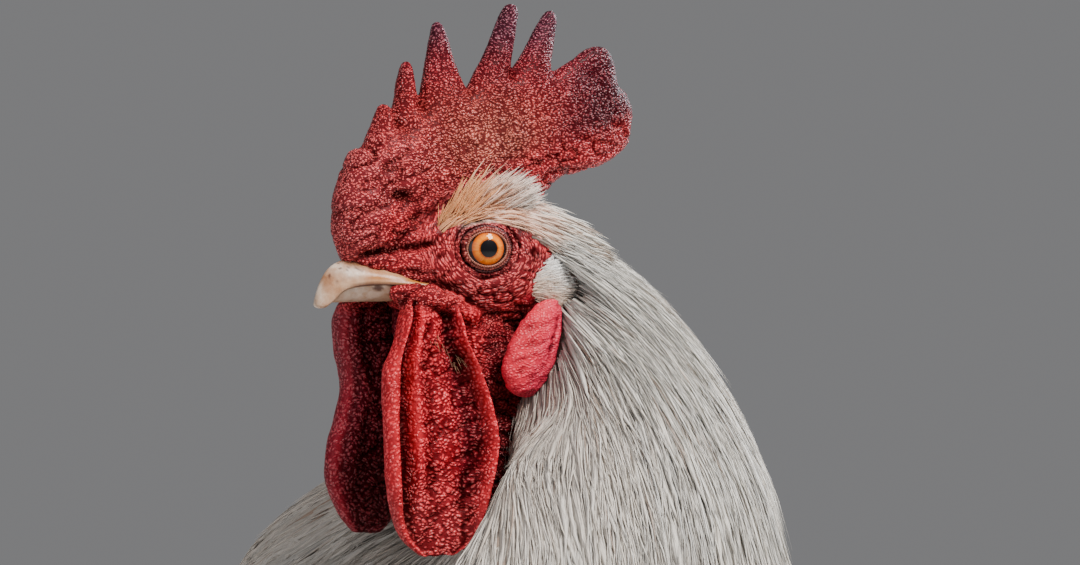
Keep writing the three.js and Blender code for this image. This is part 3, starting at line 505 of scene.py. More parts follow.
def wrinkled(p, normals):
    """Folds and pimples of the bare skin, in the head's frame."""
    x, u, v = profile(p)
    comb, wattle, face = regions(p)
    large = noise(p * [1, 1, 1.2], 8, 3) * 0.6 + noise(p, 4, 4) * 0.4
    # wrinkles run round the eye and fan out behind the gape
    ring = np.hypot(u + 1, v * 1.15)
    round_eye = creases(xyz(x, 3 * np.arctan2(v, u + 1), ring), 2.4, 6)
    fan = creases(xyz(x, u, v + 0.35 * u * step(4, 14, u)), 2.3, 7)
    amount = face * (0.3 * large + 0.24 * lerp(fan, round_eye, step(15, 9, ring)))
    # the crease between the comb's front lobe and the face
    lobe = bump_at(v - (-1.5 + 0.22 * (30 - u)), 0, 1.3) * step(12, 16, u) * step(36, 30, u)
    amount = amount - 1.5 * lobe * step(3, 5, x)
    front = bump_at(u, 27, 12) * step(-4, 2, v) * step(32, 24, v)
    crater = bump_at(np.hypot((u - 19) / 5.2, (v - 13 - 0.3 * (u - 19)) / 2.4), 0, 0.9) * (x > 1)
    folds = creases(xyz(x, u, v + 0.3 * u), 3.4, 8)
    amount = amount + comb * (0.5 * large + 0.34 * front * folds - 2.6 * crater)
    share = wattle_share(p)
    panel = step(0.3, 0.38, share) * step(0.93, 0.86, share)
    amount = amount + wattle * (0.4 * large + 0.16 * creases(xyz(x, u, v + 0.5 * u), 3, 9) * panel)
    grain = 0.5 - pebbles(p + 0.8 * noise(p, 3, 14)[:, None], 1.25, 11)
    zone = earlobe_zone(p)
    smooth = np.clip(zone + wattle * (1 - panel), 0, 1)
    amount = lerp(amount, -0.3 * lobe_lines(x, u, v), zone)
    return p + normals * (amount + grain * 0.26 * (1 - 0.7 * smooth))[:, None]


# ---------------------------------------------------------------- guides: the surfaces that feathers lie on

# The torso's sections: [y, top, bottom, half width].
TORSO = [
    [-177, 308, 284, 12], [-170, 329, 264, 34], [-148, 348, 232, 54], [-112, 356, 202, 68],
    [-72, 352, 184, 75], [-32, 343, 177, 76], [8, 332, 181, 71], [44, 325, 198, 61],
    [74, 324, 224, 47], [96, 330, 254, 33], [110, 334, 276, 20], [116, 326, 290, 9],
]
# The hackle's rings: [y and z behind, y and z in front, half width, how much the front narrows].
HACKLE = [
    [-83, 464, -122, 405, 23, 0.1], [-54, 443, -139, 396, 38, 0.2], [-35, 416, -155, 384, 56, 0],
    [-24, 389, -172, 366, 70, -0.12], [-17, 362, -184, 346, 78, -0.12], [-5, 348, -191, 322, 82, -0.04],
    [14, 340, -188, 299, 84, 0.02], [36, 334, -180, 276, 84, 0.04], [58, 331, -172, 256, 82, 0.06],
    [80, 330, -164, 238, 78, 0.08],
]
# A thigh's sections: [x, y, z, half width, half depth].
THIGH = [
    [35, -56, 238, 28, 42], [40, -49, 208, 29, 44], [43, -36, 178, 24, 35], [42, -21, 148, 16.5, 23],
    [41, -10, 126, 11, 14.5], [41, -6, 110, 8.4, 10.4],
]
RUMP = [[0, 80, 300, 17, 17], [0, 96, 307, 16, 16], [0, 108, 313, 10, 11], [0, 115, 317, 4, 5]]
HOLLOW = {"forward": 106, "middle": 3, "wide": 26, "low": 379, "high": 430}
HOLLOW_OPENS, HOLLOW_CLOSES, HOLLOW_SOFT = 0.04, 0.028, 20
LEVEL_CUT = 1.09  # the thigh leans, so its level sections are this much deeper
WING = {"y": -40, "z": 270, "half_long": 84, "half_high": 45, "slope": -0.13}
TORSO_DENSE = smooth_rows(TORSO, 600)
TORSO_END, SADDLE_END = 112, 92  # y where feathers that lie on the torso run straight on


def behind_hollow(at, lift):
    """Sinks points of the front under the hollow in which the wattles hang."""
    x, y, z = np.moveaxis(at, -1, 0)
    aside = np.maximum(0, np.abs(x - HOLLOW["middle"]) - HOLLOW["wide"])
    beyond = np.maximum(0, np.maximum(HOLLOW["low"] - z, z - HOLLOW["high"]))
    limit = HOLLOW["forward"] + HOLLOW_OPENS * aside**2 + HOLLOW_CLOSES * beyond**2 + lift
    return xyz(x, -(limit - y - np.hypot(y + limit, HOLLOW_SOFT)) / 2, z)


def fuller(at):
    """The hackle stands out beside the left wattle, and lower down on the right."""
    x, y, z = np.moveaxis(at, -1, 0)
    left = 7 * bump_at(z, 401, 17) * step(14, 34, x) * step(-90, -108, y)
    right = 9 * bump_at(z, 376, 28) * step(-4, -34, x) * step(-100, -118, y)
    return xyz(x, y - (left + right), z)


def raised(at, out, lift):
    """Points moved outwards by `lift`, and the way out of each."""
    return at + out * lift[..., None], out


def hackle_point(t, angle, lift):
    """The hackle's outer shape at ring t, from the nape (angle 0) to the front (pi)."""
    t, angle, lift = floats(t, angle, lift)
    back_y, back_z, front_y, front_z, half, narrows = np.moveaxis(row_at(HACKLE, t), -1, 0)
    s, c = np.sin(angle), np.cos(angle)
    wide = half * (1 - narrows * ((1 - c) / 2) ** 1.5)
    dy, dz = (back_y - front_y) / 2, (back_z - front_z) / 2
    out = unit(xyz(s / wide, dy * c / (dy**2 + dz**2), dz * c / (dy**2 + dz**2)))
    at = xyz(wide * s, (back_y + front_y) / 2 + dy * c, (back_z + front_z) / 2 + dz * c)
    return fuller(behind_hollow(at + out * lift[..., None], lift)), out


def torso_row(y):
    """The torso's top, bottom and half width at y."""
    return np.stack([np.interp(y, TORSO_DENSE[:, 0], TORSO_DENSE[:, c]) for c in (1, 2, 3)])


def torso_point(y, angle, lift=0.0):
    """A point of the torso's section at y, from the back (angle 0) to the belly (pi)."""
    y, angle, lift = floats(y, angle, lift)
    top, bottom, wide = torso_row(y)
    high = (top - bottom) / 2
    s, c = np.sin(angle), np.cos(angle)
    return raised(xyz(wide * s, y, (top + bottom) / 2 + high * c), unit(xyz(s / wide, 0, c / high)), lift)


def flank(side, y, z, lift):
    """A point of the torso's side at y and z."""
    y, z, lift = floats(y, z, lift)
    top, bottom, wide = torso_row(y)
    high = (top - bottom) / 2
    rise = np.clip((z - (top + bottom) / 2) / high, -0.86, 0.86)
    reach = side * wide * np.sqrt(1 - rise**2)
    return raised(xyz(reach, y, z), unit(xyz(reach / wide**2, 0, rise / high)), lift)


def thigh_point(side, t, angle, lift):
    """A point round the thigh at row t: angle 0 faces the bird's front, pi / 2 outwards."""
    t, angle, lift = floats(t, angle, lift)
    x, y, z, wide, deep = np.moveaxis(row_at(THIGH, t), -1, 0)
    deep = deep * LEVEL_CUT
    s, c = np.sin(angle), np.cos(angle)
    out = unit(xyz(side * s / wide, -c / deep, 0))
    return raised(xyz(side * (x + wide * s), y - deep * c, z), out, lift)


def wing_pad(side):
    """The folded wing's bulk, under its feathers."""
    a, b = globe(40, 48)
    along, across, up = np.cos(a) + 0 * b, np.sin(a) * np.cos(b), np.sin(a) * np.sin(b)
    y = WING["y"] + WING["half_long"] * 0.92 * along
    z = WING["z"] + WING["half_high"] * 0.86 * up * (1 - 0.28 * along) + WING["slope"] * (y - WING["y"])
    return tube(flank(side, y, z, np.where(across > 0, 0.5 + 2.6 * across, -3))[0])


def skull_point(back, angle, lift=0.0):
    """A point of the skull in the head's frame: `back` in mm behind the eyes, angle 0 on top."""
    back, angle, lift = floats(back, angle, lift)
    rows = smooth_rows(SKULL, 120)

    def at(b, a):
        up, wide, high = (np.interp(-b, rows[:, 0], rows[:, c]) for c in (1, 2, 3))
        return xyz(wide * np.sin(a), b, up + high * np.cos(a))

    p = at(back, angle)
    out = unit(np.cross(at(back, angle + 0.02) - p, at(back + 0.4, angle) - p))
    return raised(p, out * np.sign(np.sum(out * (p - [0, 0, -4]), -1, keepdims=True)), lift)


# ---------------------------------------------------------------- feathers

THIN = [(-1, 0), (0, 1), (1, 0)]  # a vane's section as [across, rise]
BROAD = [(-1, 0), (-0.5, 0.45), (0, 1), (0.5, 0.45), (1, 0), (0, -0.25)]
PATCH = 0.003  # how much of OFBake one feather takes
MARGIN, INNER = 0.006, 0.98  # OFBake's margin, and the share of it inside
NEXT_FEATHER = 91.3  # mm between two feathers in the Feather map


def finish_piece(obj, material, replaces=()):
    obj.data.materials.append(material)
    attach(obj, "root")
    if replaces:
        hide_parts(*replaces)


class Coat:
    """Feathers that are joined into one mesh. Each is a closed, tapered vane along its own path."""

    def __init__(self, name):
        self.name, self.corners, self.quads, self.caps, self.count = name, [], [], [], 0

    def add(self, path, out, half, ridge, colour, place, section=THIN, camber=0.0):
        """path and out are arrays [feather, station, 3], half and ridge [feather, station], colour
        [feather, station, 3], and place each root's spot [feather, 2] on its surface's unwrap."""
        n, s = path.shape[:2]
        a, h = np.array(section, float).T
        k = len(a)
        along = unit(np.gradient(path, axis=1))
        across = unit(np.cross(along, np.broadcast_to(out, path.shape)))
        up = unit(np.cross(across, along))
        half, ridge = (np.broadcast_to(v, (n, s))[..., None] for v in (half, ridge))
        rise = ridge * h - camber * half * a**2
        points = path[:, :, None] + across[:, :, None] * (half * a)[..., None]
        points = points + up[:, :, None] * rise[..., None]
        length = np.cumsum(np.linalg.norm(np.diff(path, axis=1, prepend=path[:, :1]), axis=-1), axis=1)
        feather = xyz(half * a, length[..., None] + np.arange(n)[:, None, None] * NEXT_FEATHER)
        share = np.linspace(0, 1, s)[:, None]
        u, v = (place[:, None, None, c] * INNER + MARGIN for c in (0, 1))
        bake = xyz(u + PATCH * a / 2, v + PATCH * (share - 0.5))
        tint = np.broadcast_to(colour, path.shape)[:, :, None]
        parts = (np.broadcast_to(part, (n, s, k, part.shape[-1])) for part in (points, tint, bake, feather))
        self.corners.append(np.concatenate(list(parts), -1).reshape(n * s * k, -1))
        base = (np.arange(n) * s * k)[:, None, None] + self.count
        ends = xyz(np.arange(k)[::-1], np.arange(k) + (s - 1) * k).T
        self.quads.append((grid_faces(s, k) + base).reshape(-1, 4))
        self.caps.append((ends + base).reshape(-1, k))
        self.count += n * s * k

    def build(self, material, replaces=()):
        points, colours, bake, feather = np.split(np.concatenate(self.corners), [3, 6, 8], axis=1)
        obj = mesh_object(self.name, in_metres(points), self.quads + self.caps)
        loops = read(obj.data.loops, "vertex_index", len(obj.data.loops), np.int32)
        for name, uv in (("OFBake", bake), ("Feather", feather)):
            layer = obj.data.uv_layers.new(name=name)
            layer.data.foreach_set("uv", uv[loops].astype(np.float32).ravel())
        obj.data.uv_layers.active_index = 0
        paint(obj, "tint", colours)
        finish_piece(obj, material, replaces)


def lancet(s, widest=0.35, root=0.45, power=1.0):
    """How wide a pointed feather is along its length."""
    end = np.clip((s - widest) / (1 - widest), 0, 1)
    return np.maximum(lerp(root, 1, step(0, widest, s)) * (1 - end ** (1.6 * power)) ** 0.9, 0.03)


def paddle(s, widest=0.6, root=0.3, tip=0.12):
    """How wide a round-ended feather is along its length."""
    end = np.clip((s - widest) / (1 - widest), 0, 1)
    return np.maximum(lerp(root, 1, step(0, widest, s)) * np.sqrt(1 - end**2), tip)


def spread(rng, count, low, high, density=None):
    """Scattered, even spots in a rectangle, thinned where density (0 to 1) is lower."""
    index = np.arange(count * 6)
    spots = xyz((0.5 + index * 0.7548776662) % 1, (0.5 + index * 0.5698402910) % 1)
    spots = (spots + rng.normal(0, 0.15 / math.sqrt(count), spots.shape)) % 1
    spots = np.asarray(low) + spots * (np.asarray(high) - np.asarray(low))
    if density is not None:
        spots = spots[rng.random(len(spots)) < density(*spots.T)]
    return spots[:count].T


# ---------------------------------------------------------------- materials


class Graph:
    """Short names for building a material's nodes."""

    def __init__(self, name):
        self.material = bpy.data.materials.new(name)
        self.material.use_nodes = True
        self.tree = self.material.node_tree
        self.shader = self.tree.nodes["Principled BSDF"]

    def node(self, kind, inputs, **settings):
        node = self.tree.nodes.new("ShaderNode" + kind)
        for key, value in settings.items():
            setattr(node, key, value)
        for key, value in inputs.items():
            self.put(node.inputs[key], value)
        return node

    def put(self, socket, value):
        if isinstance(value, bpy.types.NodeSocket):
            self.tree.links.new(value, socket)
        else:
            socket.default_value = value

    def set(self, **values):
        for key, value in values.items():
            self.put(self.shader.inputs[key.replace("_", " ")], value)
        return self.material

    def attribute(self, name, output="Fac"):
        return self.node("Attribute", {}, attribute_name=name).outputs[output]

    def math(self, operation, a, b=0.0):
        return self.node("Math", {0: a, 1: b}, operation=operation).outputs[0]

    def mix(self, factor, a, b, blend="MIX"):
        a, b = ((*v, 1) if isinstance(v, tuple) else v for v in (a, b))
        return self.node("Mix", {0: factor, 6: a, 7: b}, data_type="RGBA", blend_type=blend).outputs[2]

    def times(self, a, b, factor=1.0):
        return self.mix(factor, a, b, "MULTIPLY")

    def ramp(self, factor, *stops):
        """Greys of `stops` [position, grey] along the factor."""
        node = self.node("ValToRGB", {0: factor})
        elements = node.color_ramp.elements
        while len(elements) < len(stops):
            elements.new(0.5)
        for element, (at, grey) in zip(elements, stops):
            element.position = at
            element.color = (grey, grey, grey, 1)
        return node.outputs[0]

    def mapped(self, vector, scale=(1, 1, 1), rotation=(0, 0, 0)):
        return self.node("Mapping", {"Vector": vector, "Scale": scale, "Rotation": rotation}).outputs[0]

    def object_coords(self, scale=(1000, 1000, 1000)):
        return self.mapped(self.node("TexCoord", {}).outputs["Object"], scale)

    def uv(self, scale=(1, 1, 1)):
        return self.mapped(self.node("UVMap", {}, uv_map="Feather").outputs[0], scale)

    def noise(self, vector, scale, detail=3.0, roughness=0.55):
        inputs = {"Vector": vector, "Scale": scale, "Detail": detail, "Roughness": roughness}
        return self.node("TexNoise", inputs).outputs[0]

    def bump(self, height, distance, strength):
        return self.node("Bump", {"Height": height, "Distance": distance, "Strength": strength}).outputs[0]

    def domes(self, vector, scale):
        """Small round beads set close together."""
        cells = self.node("TexVoronoi", {"Vector": vector, "Scale": scale, "Randomness": 0.85})
        return self.ramp(cells.outputs["Distance"], (0.05, 1.0), (0.32, 0.78), (0.6, 0.0))


def skin_material():
    """Bare skin covered in beads: fine on the comb, larger on the wattles, in rings round the eyes,
    with painted shade in the gaps between the beads and a painted highlight on their tops.
    """
    g = Graph("bare_skin")
    tone, flow = g.attribute("tone", "Color"), g.attribute("flow", "Vector")
    soft, wattled, ringed, bare = (g.attribute(n) for n in ("soft", "wattled", "ringed", "bare"))
    coords = g.object_coords()
    wander = g.node("TexNoise", {"Vector": coords, "Scale": 0.22, "Detail": 2.0}).outputs[1]
    shift = g.node("VectorMath", {0: wander, "Scale": 2.6}, operation="SCALE").outputs[0]
    moved = g.node("VectorMath", {0: coords, 1: shift}, operation="ADD").outputs[0]
    rings = g.node("VectorMath", {0: flow, 1: shift}, operation="ADD").outputs[0]
    longer = g.mapped(moved, (1, 0.78, 1.05), (0.5, 0, 0))
    rows = g.mapped(moved, (1, 0.86, 1.2), (-0.35, 0, 0))
    dome = g.mix(ringed, g.mix(wattled, g.domes(rows, 1.3), g.domes(longer, 1.02)), g.domes(rings, 1.0))
    mostly_soft = g.math("MULTIPLY", soft, 0.75)
    # painted highlight: a paler pink laid on the beads' tops
    light = g.mix(0.34, tone, (1.0, 0.38, 0.33))
    # painted shade: the tone darkened in the gaps between the beads
    base = g.mix(g.ramp(dome, (0.0, 0.0), (0.62, 1.0)), g.times(tone, (0.2, 0.12, 0.16)), tone)
    base = g.mix(g.math("MULTIPLY", g.ramp(dome, (0.74, 0.0), (1.0, 1.0)), 0.6), base, light)
    base = g.times(g.mix(mostly_soft, base, tone), g.ramp(g.noise(coords, 0.09), (0.3, 0.72), (0.7, 1.12)))
    firm = g.math("MULTIPLY", dome, g.math("SUBTRACT", 1.0, mostly_soft))
    height = g.math("ADD", firm, g.math("MULTIPLY", g.noise(coords, 2.6, 2.0), 0.2))
    return g.set(
        Base_Color=base,
        Roughness=0.36,
        Specular_IOR_Level=g.math("MULTIPLY", g.ramp(dome, (0.1, 0.12), (0.8, 0.6)), bare),
        Subsurface_Weight=0.08,
        Subsurface_Radius=(1.0, 0.3, 0.2),
        Subsurface_Scale=0.0012,
        Normal=g.bump(height, 0.0006, 1.0),
    )


def keratin(g, base, rough, specular, normal):
    """What all feathers share: a soft sheen."""
    return g.set(Base_Color=base, Roughness=rough, Specular_IOR_Level=specular, Sheen_Weight=0.12,
                 Sheen_Roughness=0.5, Normal=normal)


def feather_material():
    """Narrow feathers with fine barbs. Colours come from each feather."""
    g = Graph("feather")
    lines = g.noise(g.uv((3.4, 0.16, 1)), 1.0, 3.0, 0.6)
    broad = g.noise(g.uv((0.9, 0.05, 1)), 1.0, 2.0)
    base = g.times(g.attribute("tint", "Color"), g.ramp(lines, (0.32, 0.62), (0.5, 0.95), (0.7, 1.1)), 0.85)
    base = g.times(base, g.ramp(broad, (0.3, 0.78), (0.65, 1.08)), 0.5)
    return keratin(g, base, 0.5, 0.35, g.bump(lines, 0.00022, 0.7))


def vane_material():
    """Broad feathers: barbs that slant off a shaft. Colours come from each feather."""
    g = Graph("vane")
    split = g.node("SeparateXYZ", {0: g.uv()})
    aside = g.math("ABSOLUTE", split.outputs[0])
    slant = g.math("SUBTRACT", split.outputs[1], g.math("MULTIPLY", aside, 1.5))
    across = g.node("CombineXYZ", {0: slant, 1: g.math("MULTIPLY", aside, 0.12)}).outputs[0]
    barbs, clumps = g.noise(across, 1.5, 4.0, 0.65), g.noise(across, 0.3, 2.0)
    shaft = g.ramp(aside, (0.25, 1.0), (0.7, 0.0))
    base = g.times(g.attribute("tint", "Color"), g.ramp(barbs, (0.3, 0.6), (0.5, 0.95), (0.7, 1.1)), 0.7)
    base = g.times(base, g.ramp(clumps, (0.35, 0.72), (0.6, 1.06)), 0.6)
    base = g.mix(g.math("MULTIPLY", shaft, 0.4), base, (0.75, 0.66, 0.52))
    height = g.math("ADD", g.math("ADD", barbs, clumps), g.math("MULTIPLY", shaft, 0.8))
    return keratin(g, base, 0.52, 0.3, g.bump(height, 0.0003, 0.8))


def eye_material():
    g = Graph("eyeball")
    iris = g.attribute("iris", "Color")
    coat = {"Coat_Weight": 0.55, "Coat_Roughness": 0.02}
    return g.set(Base_Color=iris, Roughness=0.5, Specular_IOR_Level=0.05, **coat)


def horn_material(name, colour, dark, rough=0.36):
    g = Graph(name)
    tone = g.attribute("tone", "Color")
    streaks = g.noise(g.object_coords((1000, 1000, 260)), 0.9, 4.0)
    blotch = g.noise(g.object_coords(), 0.28, 4.0, 0.65)
    base = g.mix(g.ramp(blotch, (0.42, 0.0), (0.72, 1.0)), tone, g.times(tone, dark))
    return g.set(
        Base_Color=g.mix(g.ramp(streaks, (0.35, 0.35), (0.62, 0.0)), base, g.times(tone, colour)),
        Roughness=g.ramp(blotch, (0.3, rough * 0.85), (0.7, rough * 1.35)),
        Specular_IOR_Level=0.45,
        Subsurface_Weight=0.1,
        Subsurface_Radius=(1.0, 0.7, 0.5),
        Subsurface_Scale=0.0015,
        Normal=g.bump(g.math("ADD", blotch, streaks), 0.00012, 0.6),
    )


def leg_material():
    g = Graph("leg_scales")
    tone = g.attribute("tone", "Color")
    dirt, fine = (g.noise(g.object_coords(), *sizes) for sizes in ((0.16, 4.0, 0.65), (1.6, 3.0)))
    base = g.mix(g.ramp(dirt, (0.45, 0.0), (0.75, 0.6)), tone, g.times(tone, (0.5, 0.38, 0.28)))
    base = g.times(base, g.ramp(fine, (0.3, 0.7), (0.7, 1.15)), 0.35)
    return g.set(Base_Color=base, Roughness=g.ramp(dirt, (0.3, 0.42), (0.7, 0.62)), Specular_IOR_Level=0.4,
                 Normal=g.bump(fine, 0.00015, 0.6))


# ---------------------------------------------------------------- pieces: bare skin

BODY_SKIN = (0.62, 0.55, 0.46)


class Tones:
    """Colours of points, blended one over another by amounts from 0 to 1."""

    def __init__(self, tone):
        self.tone = np.asarray(tone, float)

    def blend(self, colour, amount):
        self.tone = lerp(self.tone, np.asarray(colour), np.clip(amount, 0, 1)[..., None])


def head_tones(p):
    """The bare skin's colours, for points of the head's frame, and how soft (unpebbled) it is."""
    x, u, v = profile(p)
    left, right = p[:, 0] > 0, p[:, 0] < 0
    red, maroon, purple, pink, salmon, bright, rose, throat_shade = np.array([
        [0.56, 0.036, 0.042], [0.24, 0.014, 0.034], [0.2, 0.05, 0.085], [0.78, 0.11, 0.11],
        [0.78, 0.21, 0.14], [0.64, 0.02, 0.034], [0.68, 0.03, 0.07], [0.22, 0.01, 0.018],
    ])
    tones = Tones(red)
    blend = tones.blend
    wide = noise(p, 14, 21)
    comb, wattle, face = regions(p)
    blend(pink, comb * 0.6 * step(2, 24, u + 4 * wide) * step(44, 22, v))
    blend(salmon, comb * 0.75 * bump_at(u, -8, 16) * bump_at(v, 28, 12))
    blend(maroon, comb * step(-22, -44, u + 5 * wide) * 0.85)
    blend(maroon, comb * step(36, 52, v + 3 * wide) * 0.6)
    blend(purple, comb * step(50, 62, v + 3 * wide) * 0.9)
    blend(purple, comb * step(-44, -54, u) * step(36, 50, v) * 0.8)
    blend(maroon * 0.4, comb * 0.75 * step(-30, -50, u + 3 * wide))
    # the crown, which feathers cover
    angle = np.arctan2(x, v + 4)
    edge = np.interp(-u, *np.array(CROWN_EDGE).T)
    skull = smooth_rows(SKULL, 80)
    top = np.interp(u, skull[:, 0], skull[:, 1] + skull[:, 3])
    crown = step(edge, edge - 0.08, angle) * step(-8, -4, -u) * (1 - comb) * step(top + 1.5, top - 0.5, v)
    crown = crown * step(1, 4, -u - brow_start(angle))
    blend(pink, face * 0.8 * step(-15, -8, v) * step(24, 8, np.abs(u - 2)) * (0.7 + 0.6 * wide))
    # painted shade under the jaw, between the wattles
    blend(throat_shade, step(-14, -26, v) * step(10, 3, u) * (1 - wattle) * 0.8)
    blend(bright, wattle * 0.8)
    blend(pink, wattle * 0.45 * step(-56, -72, v) * (0.7 + 0.5 * wide))
    lobe = earlobe_zone(p)
    blend(rose, lobe)
    # painted shade: darker along the lines pressed into the earlobe
    blend(maroon, lobe * 0.4 * step(0.1, 0.5, lobe_lines(x, u, v)))
    blend(bright, lobe * 0.6 * step(-16, -9, u + 0.4 * (v + 26)))
    share = wattle_share(p)
    rims = np.maximum(bump_at(share, 0.05, 0.06), bump_at(share, 0.96, 0.05)) * wattle
    fold = bump_at(share, 0.29, 0.045) * wattle * step(-62, -50, v) * left
    groove = bump_at(share, 0.19, 0.05) * wattle * step(-66, -54, v) * left
    hollow = bump_at(share, 0.8, 0.09) * wattle * step(-72, -60, v) * left
    # painted shade: the near wattle darker in its groove and in the hollow before its rear rim
    blend(maroon, 0.5 * hollow + 0.4 * groove)
    # painted shade: the far wattle darker all over, and its rims and fold only about a third as bright
    blend(maroon, 0.72 * wattle * right)
    raised_parts = np.maximum(rims, fold)
    blend((0.7, 0.025, 0.035), 0.7 * raised_parts * step(-16, -20, v) * np.where(right, 0.35, 1))
    blend(maroon * 0.5, 0.5 * wattle * right)
    # the shadow round the upper lid and under the brow
    shade = bump_at(np.hypot(u + EYE_BACK, v), 9.6, 1.7) * step(1.5, 4, v)
    shade = shade + 0.7 * bump_at(v - 2.2 - 0.3 * u, 0, 2) * step(-8, -11, u)
    blend((0.07, 0.012, 0.014), 0.75 * face * shade * (1 - comb) * step(-22, -18, u))
    blend((0.6, 0.42, 0.34), crown)
    soft = np.maximum(wattle * 0.1 + 0.62 * np.maximum(rims, fold + groove), np.maximum(lobe * 0.9, crown))
    return tones.tone, soft


def eye_rings(p):
    """Rings round the eye to lay beads along, and how far each point takes part."""
    x, u, v = profile(p)
    ring, turn = np.hypot(u + 1, v * 1.1), np.arctan2(v * 1.1, u + 1)
    part = regions(p)[2] * step(21, 15, ring) * step(4, 7, x)
    return xyz(8 * np.cos(turn), 8 * np.sin(turn), 1.55 * ring), part


def painted_fold_shade_and_ridge_light(p, polygons, tone):
    """Colours darkened in the folds as painted shade and lightened on the ridges as painted light."""
    normals = normals_of(p, polygons)
    bare = np.ones(len(p))
    for rounds, reach, strength in ((6, 0.14, 0.5), (40, 0.6, 0.6)):
        rise = np.sum((p - relaxed(p, polygons, rounds)) * normals, axis=-1) / reach
        shade = strength * lerp(1, 0.45, step(24, 34, p[:, 2]))
        tone = tone * (1 + shade * np.clip(rise, -1.1, 0.45))[:, None]
        bare = bare * step(-1.2, 0.1, rise)
    return np.clip(tone, 0.004, 0.95), bare


def socket_tones(p, tone):
    """Painted shade in the grooves round each eye and inside the lids' opening, and the lids' paler rims."""
    tones = Tones(tone)
    for _, side in SIDES:
        high, _, _, ring = eye_polar(p, side)
        near = high > 0
        # rings 1.3 and 1.66 are grooves and below 1.08 the skin tucks under the lids: painted shade; 1.12 is
        # the rim's own paler colour
        tones.blend((0.04, 0.006, 0.01), bump_at(ring, 1.3, 0.1) * near * 0.9)
        tones.blend((0.4, 0.12, 0.08), bump_at(ring, 1.12, 0.07) * near * 0.8)
        tones.blend((0.06, 0.006, 0.01), bump_at(ring, 1.66, 0.08) * near * 0.45)
        tones.blend((0.03, 0.004, 0.006), step(1.08, 1.0, ring) * near)
    return tones.tone


def build_skin():
    solids = [forward_limb(SKULL, 40, 48), forward_limb(JAW, 30, 40), comb_solid()]
    t, ring = column(np.linspace(-0.1, 6.2, 30)), around(48)
    body = [
        tube(hackle_point(t, ring, 0.5 * t - 13)[0]),
        tube(behind_hollow(torso_point(column(np.linspace(-170, 108, 60)), ring, -5)[0], -16)),
        limb(RUMP, 12, 24),
    ]
    for _, side in SIDES:
        cheek = limb([[side * x, y, z, r, r] for x, y, z, r in CHEEK], 20, 16)
        solids += [wattle_solid(side), earlobe_solid(side), cheek]
        body += [wing_pad(side), limb([[side * x, y, z, w - 4, d - 4] for x, y, z, w, d in THIGH], 24, 24)]
    points, *polygons = merged(solids)
    p, polygons = remeshed(points, polygons, HEAD_VOXEL)
    p = shape_sockets(relaxed(p, polygons, 3, 0.35))
    p = wrinkled(p, normals_of(p, polygons))
    tone, soft = head_tones(p)
    # painted shade in the grooves round the eyes and in the skin's folds, painted light on its ridges
    tone, bare = painted_fold_shade_and_ridge_light(p, polygons, socket_tones(p, tone))
    flow, ringed = eye_rings(p)

    points, *faces = merged(body)
    q, faces = remeshed(points, faces, BODY_VOXEL)
    q = relaxed(q, faces, 4)
    points = np.concatenate([in_metres(from_head(p)), in_metres(q)])
    obj = mesh_object("skin", points, polygons + [f + len(p) for f in faces])
    paint(obj, "tone", np.concatenate([tone, np.tile(BODY_SKIN, (len(q), 1))]))
    tag(obj, "soft", np.append(soft, np.ones(len(q))))
    tag(obj, "bare", np.append(bare, np.ones(len(q))))
    tag(obj, "wattled", np.append(regions(p)[1], np.zeros(len(q))))
    tag(obj, "ringed", np.append(ringed, np.zeros(len(q))))
    tag(obj, "flow", np.concatenate([flow, q]), "FLOAT_VECTOR", "vector")
    nodes = ["head", "comb", "neck", "torso"]
    nodes += [f"{part}_{name}" for name, _ in SIDES for part in ("wattle", "earlobe", "thigh")]
    finish_piece(obj, skin_material(), nodes)


# ---------------------------------------------------------------- pieces: eyes, lids, bill


def build_eyes():
    material = eye_material()
    reach = column(np.concatenate([np.linspace(0.01, 0.75, 56), np.linspace(0.78, math.pi - 0.05, 14)]))
    turn = around(96)[None, :]
    flat = EYE_R * np.sin(reach)
    high = EYE_R * np.cos(reach) + 0.35 * bump_at(flat, 0, 3.8) * (reach < 1)
    places = xyz(high, flat * np.cos(turn), flat * np.sin(turn))
    for name, side in SIDES:
        centre, *axes = eye_frame(side)
        points, quads, tris = tube(centre + places @ np.array(axes))
        fibre = noise(xyz(turn * 18, flat * 0.6, side), 1.0, 31)
        fine = noise(xyz(turn * 40, flat * 1.2, side), 1.0, 32)
        tones = Tones(np.array([0.86, 0.17, 0.0]) * (1 + 0.2 * fibre + 0.14 * fine)[..., None])
        tones.blend((0.98, 0.32, 0.002), 0.6 * bump_at(flat, 3.2, 0.45) + 0.25 * fibre)
        tones.blend((0.5, 0.08, 0.004), 0.8 * step(3.6, 4.25, flat))
        tones.blend((0.3, 0.05, 0.004), 0.6 * bump_at(flat, 2.55, 0.16))
        tones.blend((0.004, 0.004, 0.006), step(2.5, 2.3, flat + 0.05 * fibre))
        tones.blend((0.008, 0.004, 0.004), step(4.2, 4.5, flat))
        obj = mesh_object(f"eyeball_{name}", in_metres(from_head(points)), [quads, tris])
        paint(obj, "iris", np.concatenate([tones.tone.reshape(-1, 3), [[0.004] * 3, [0.1, 0.02, 0.02]]]))
        finish_piece(obj, material, [f"eye_{name}"])


# Rings of beads round an eye: [size, radius, height, beads, colour].
LID_RINGS = (
    (1.0, 0.34, 0.28, 60, (0.42, 0.13, 0.08)),
    (1.13, 0.4, 0.42, 52, (0.34, 0.07, 0.05)),
    (1.27, 0.42, 0.2, 56, (0.12, 0.018, 0.02)),
)


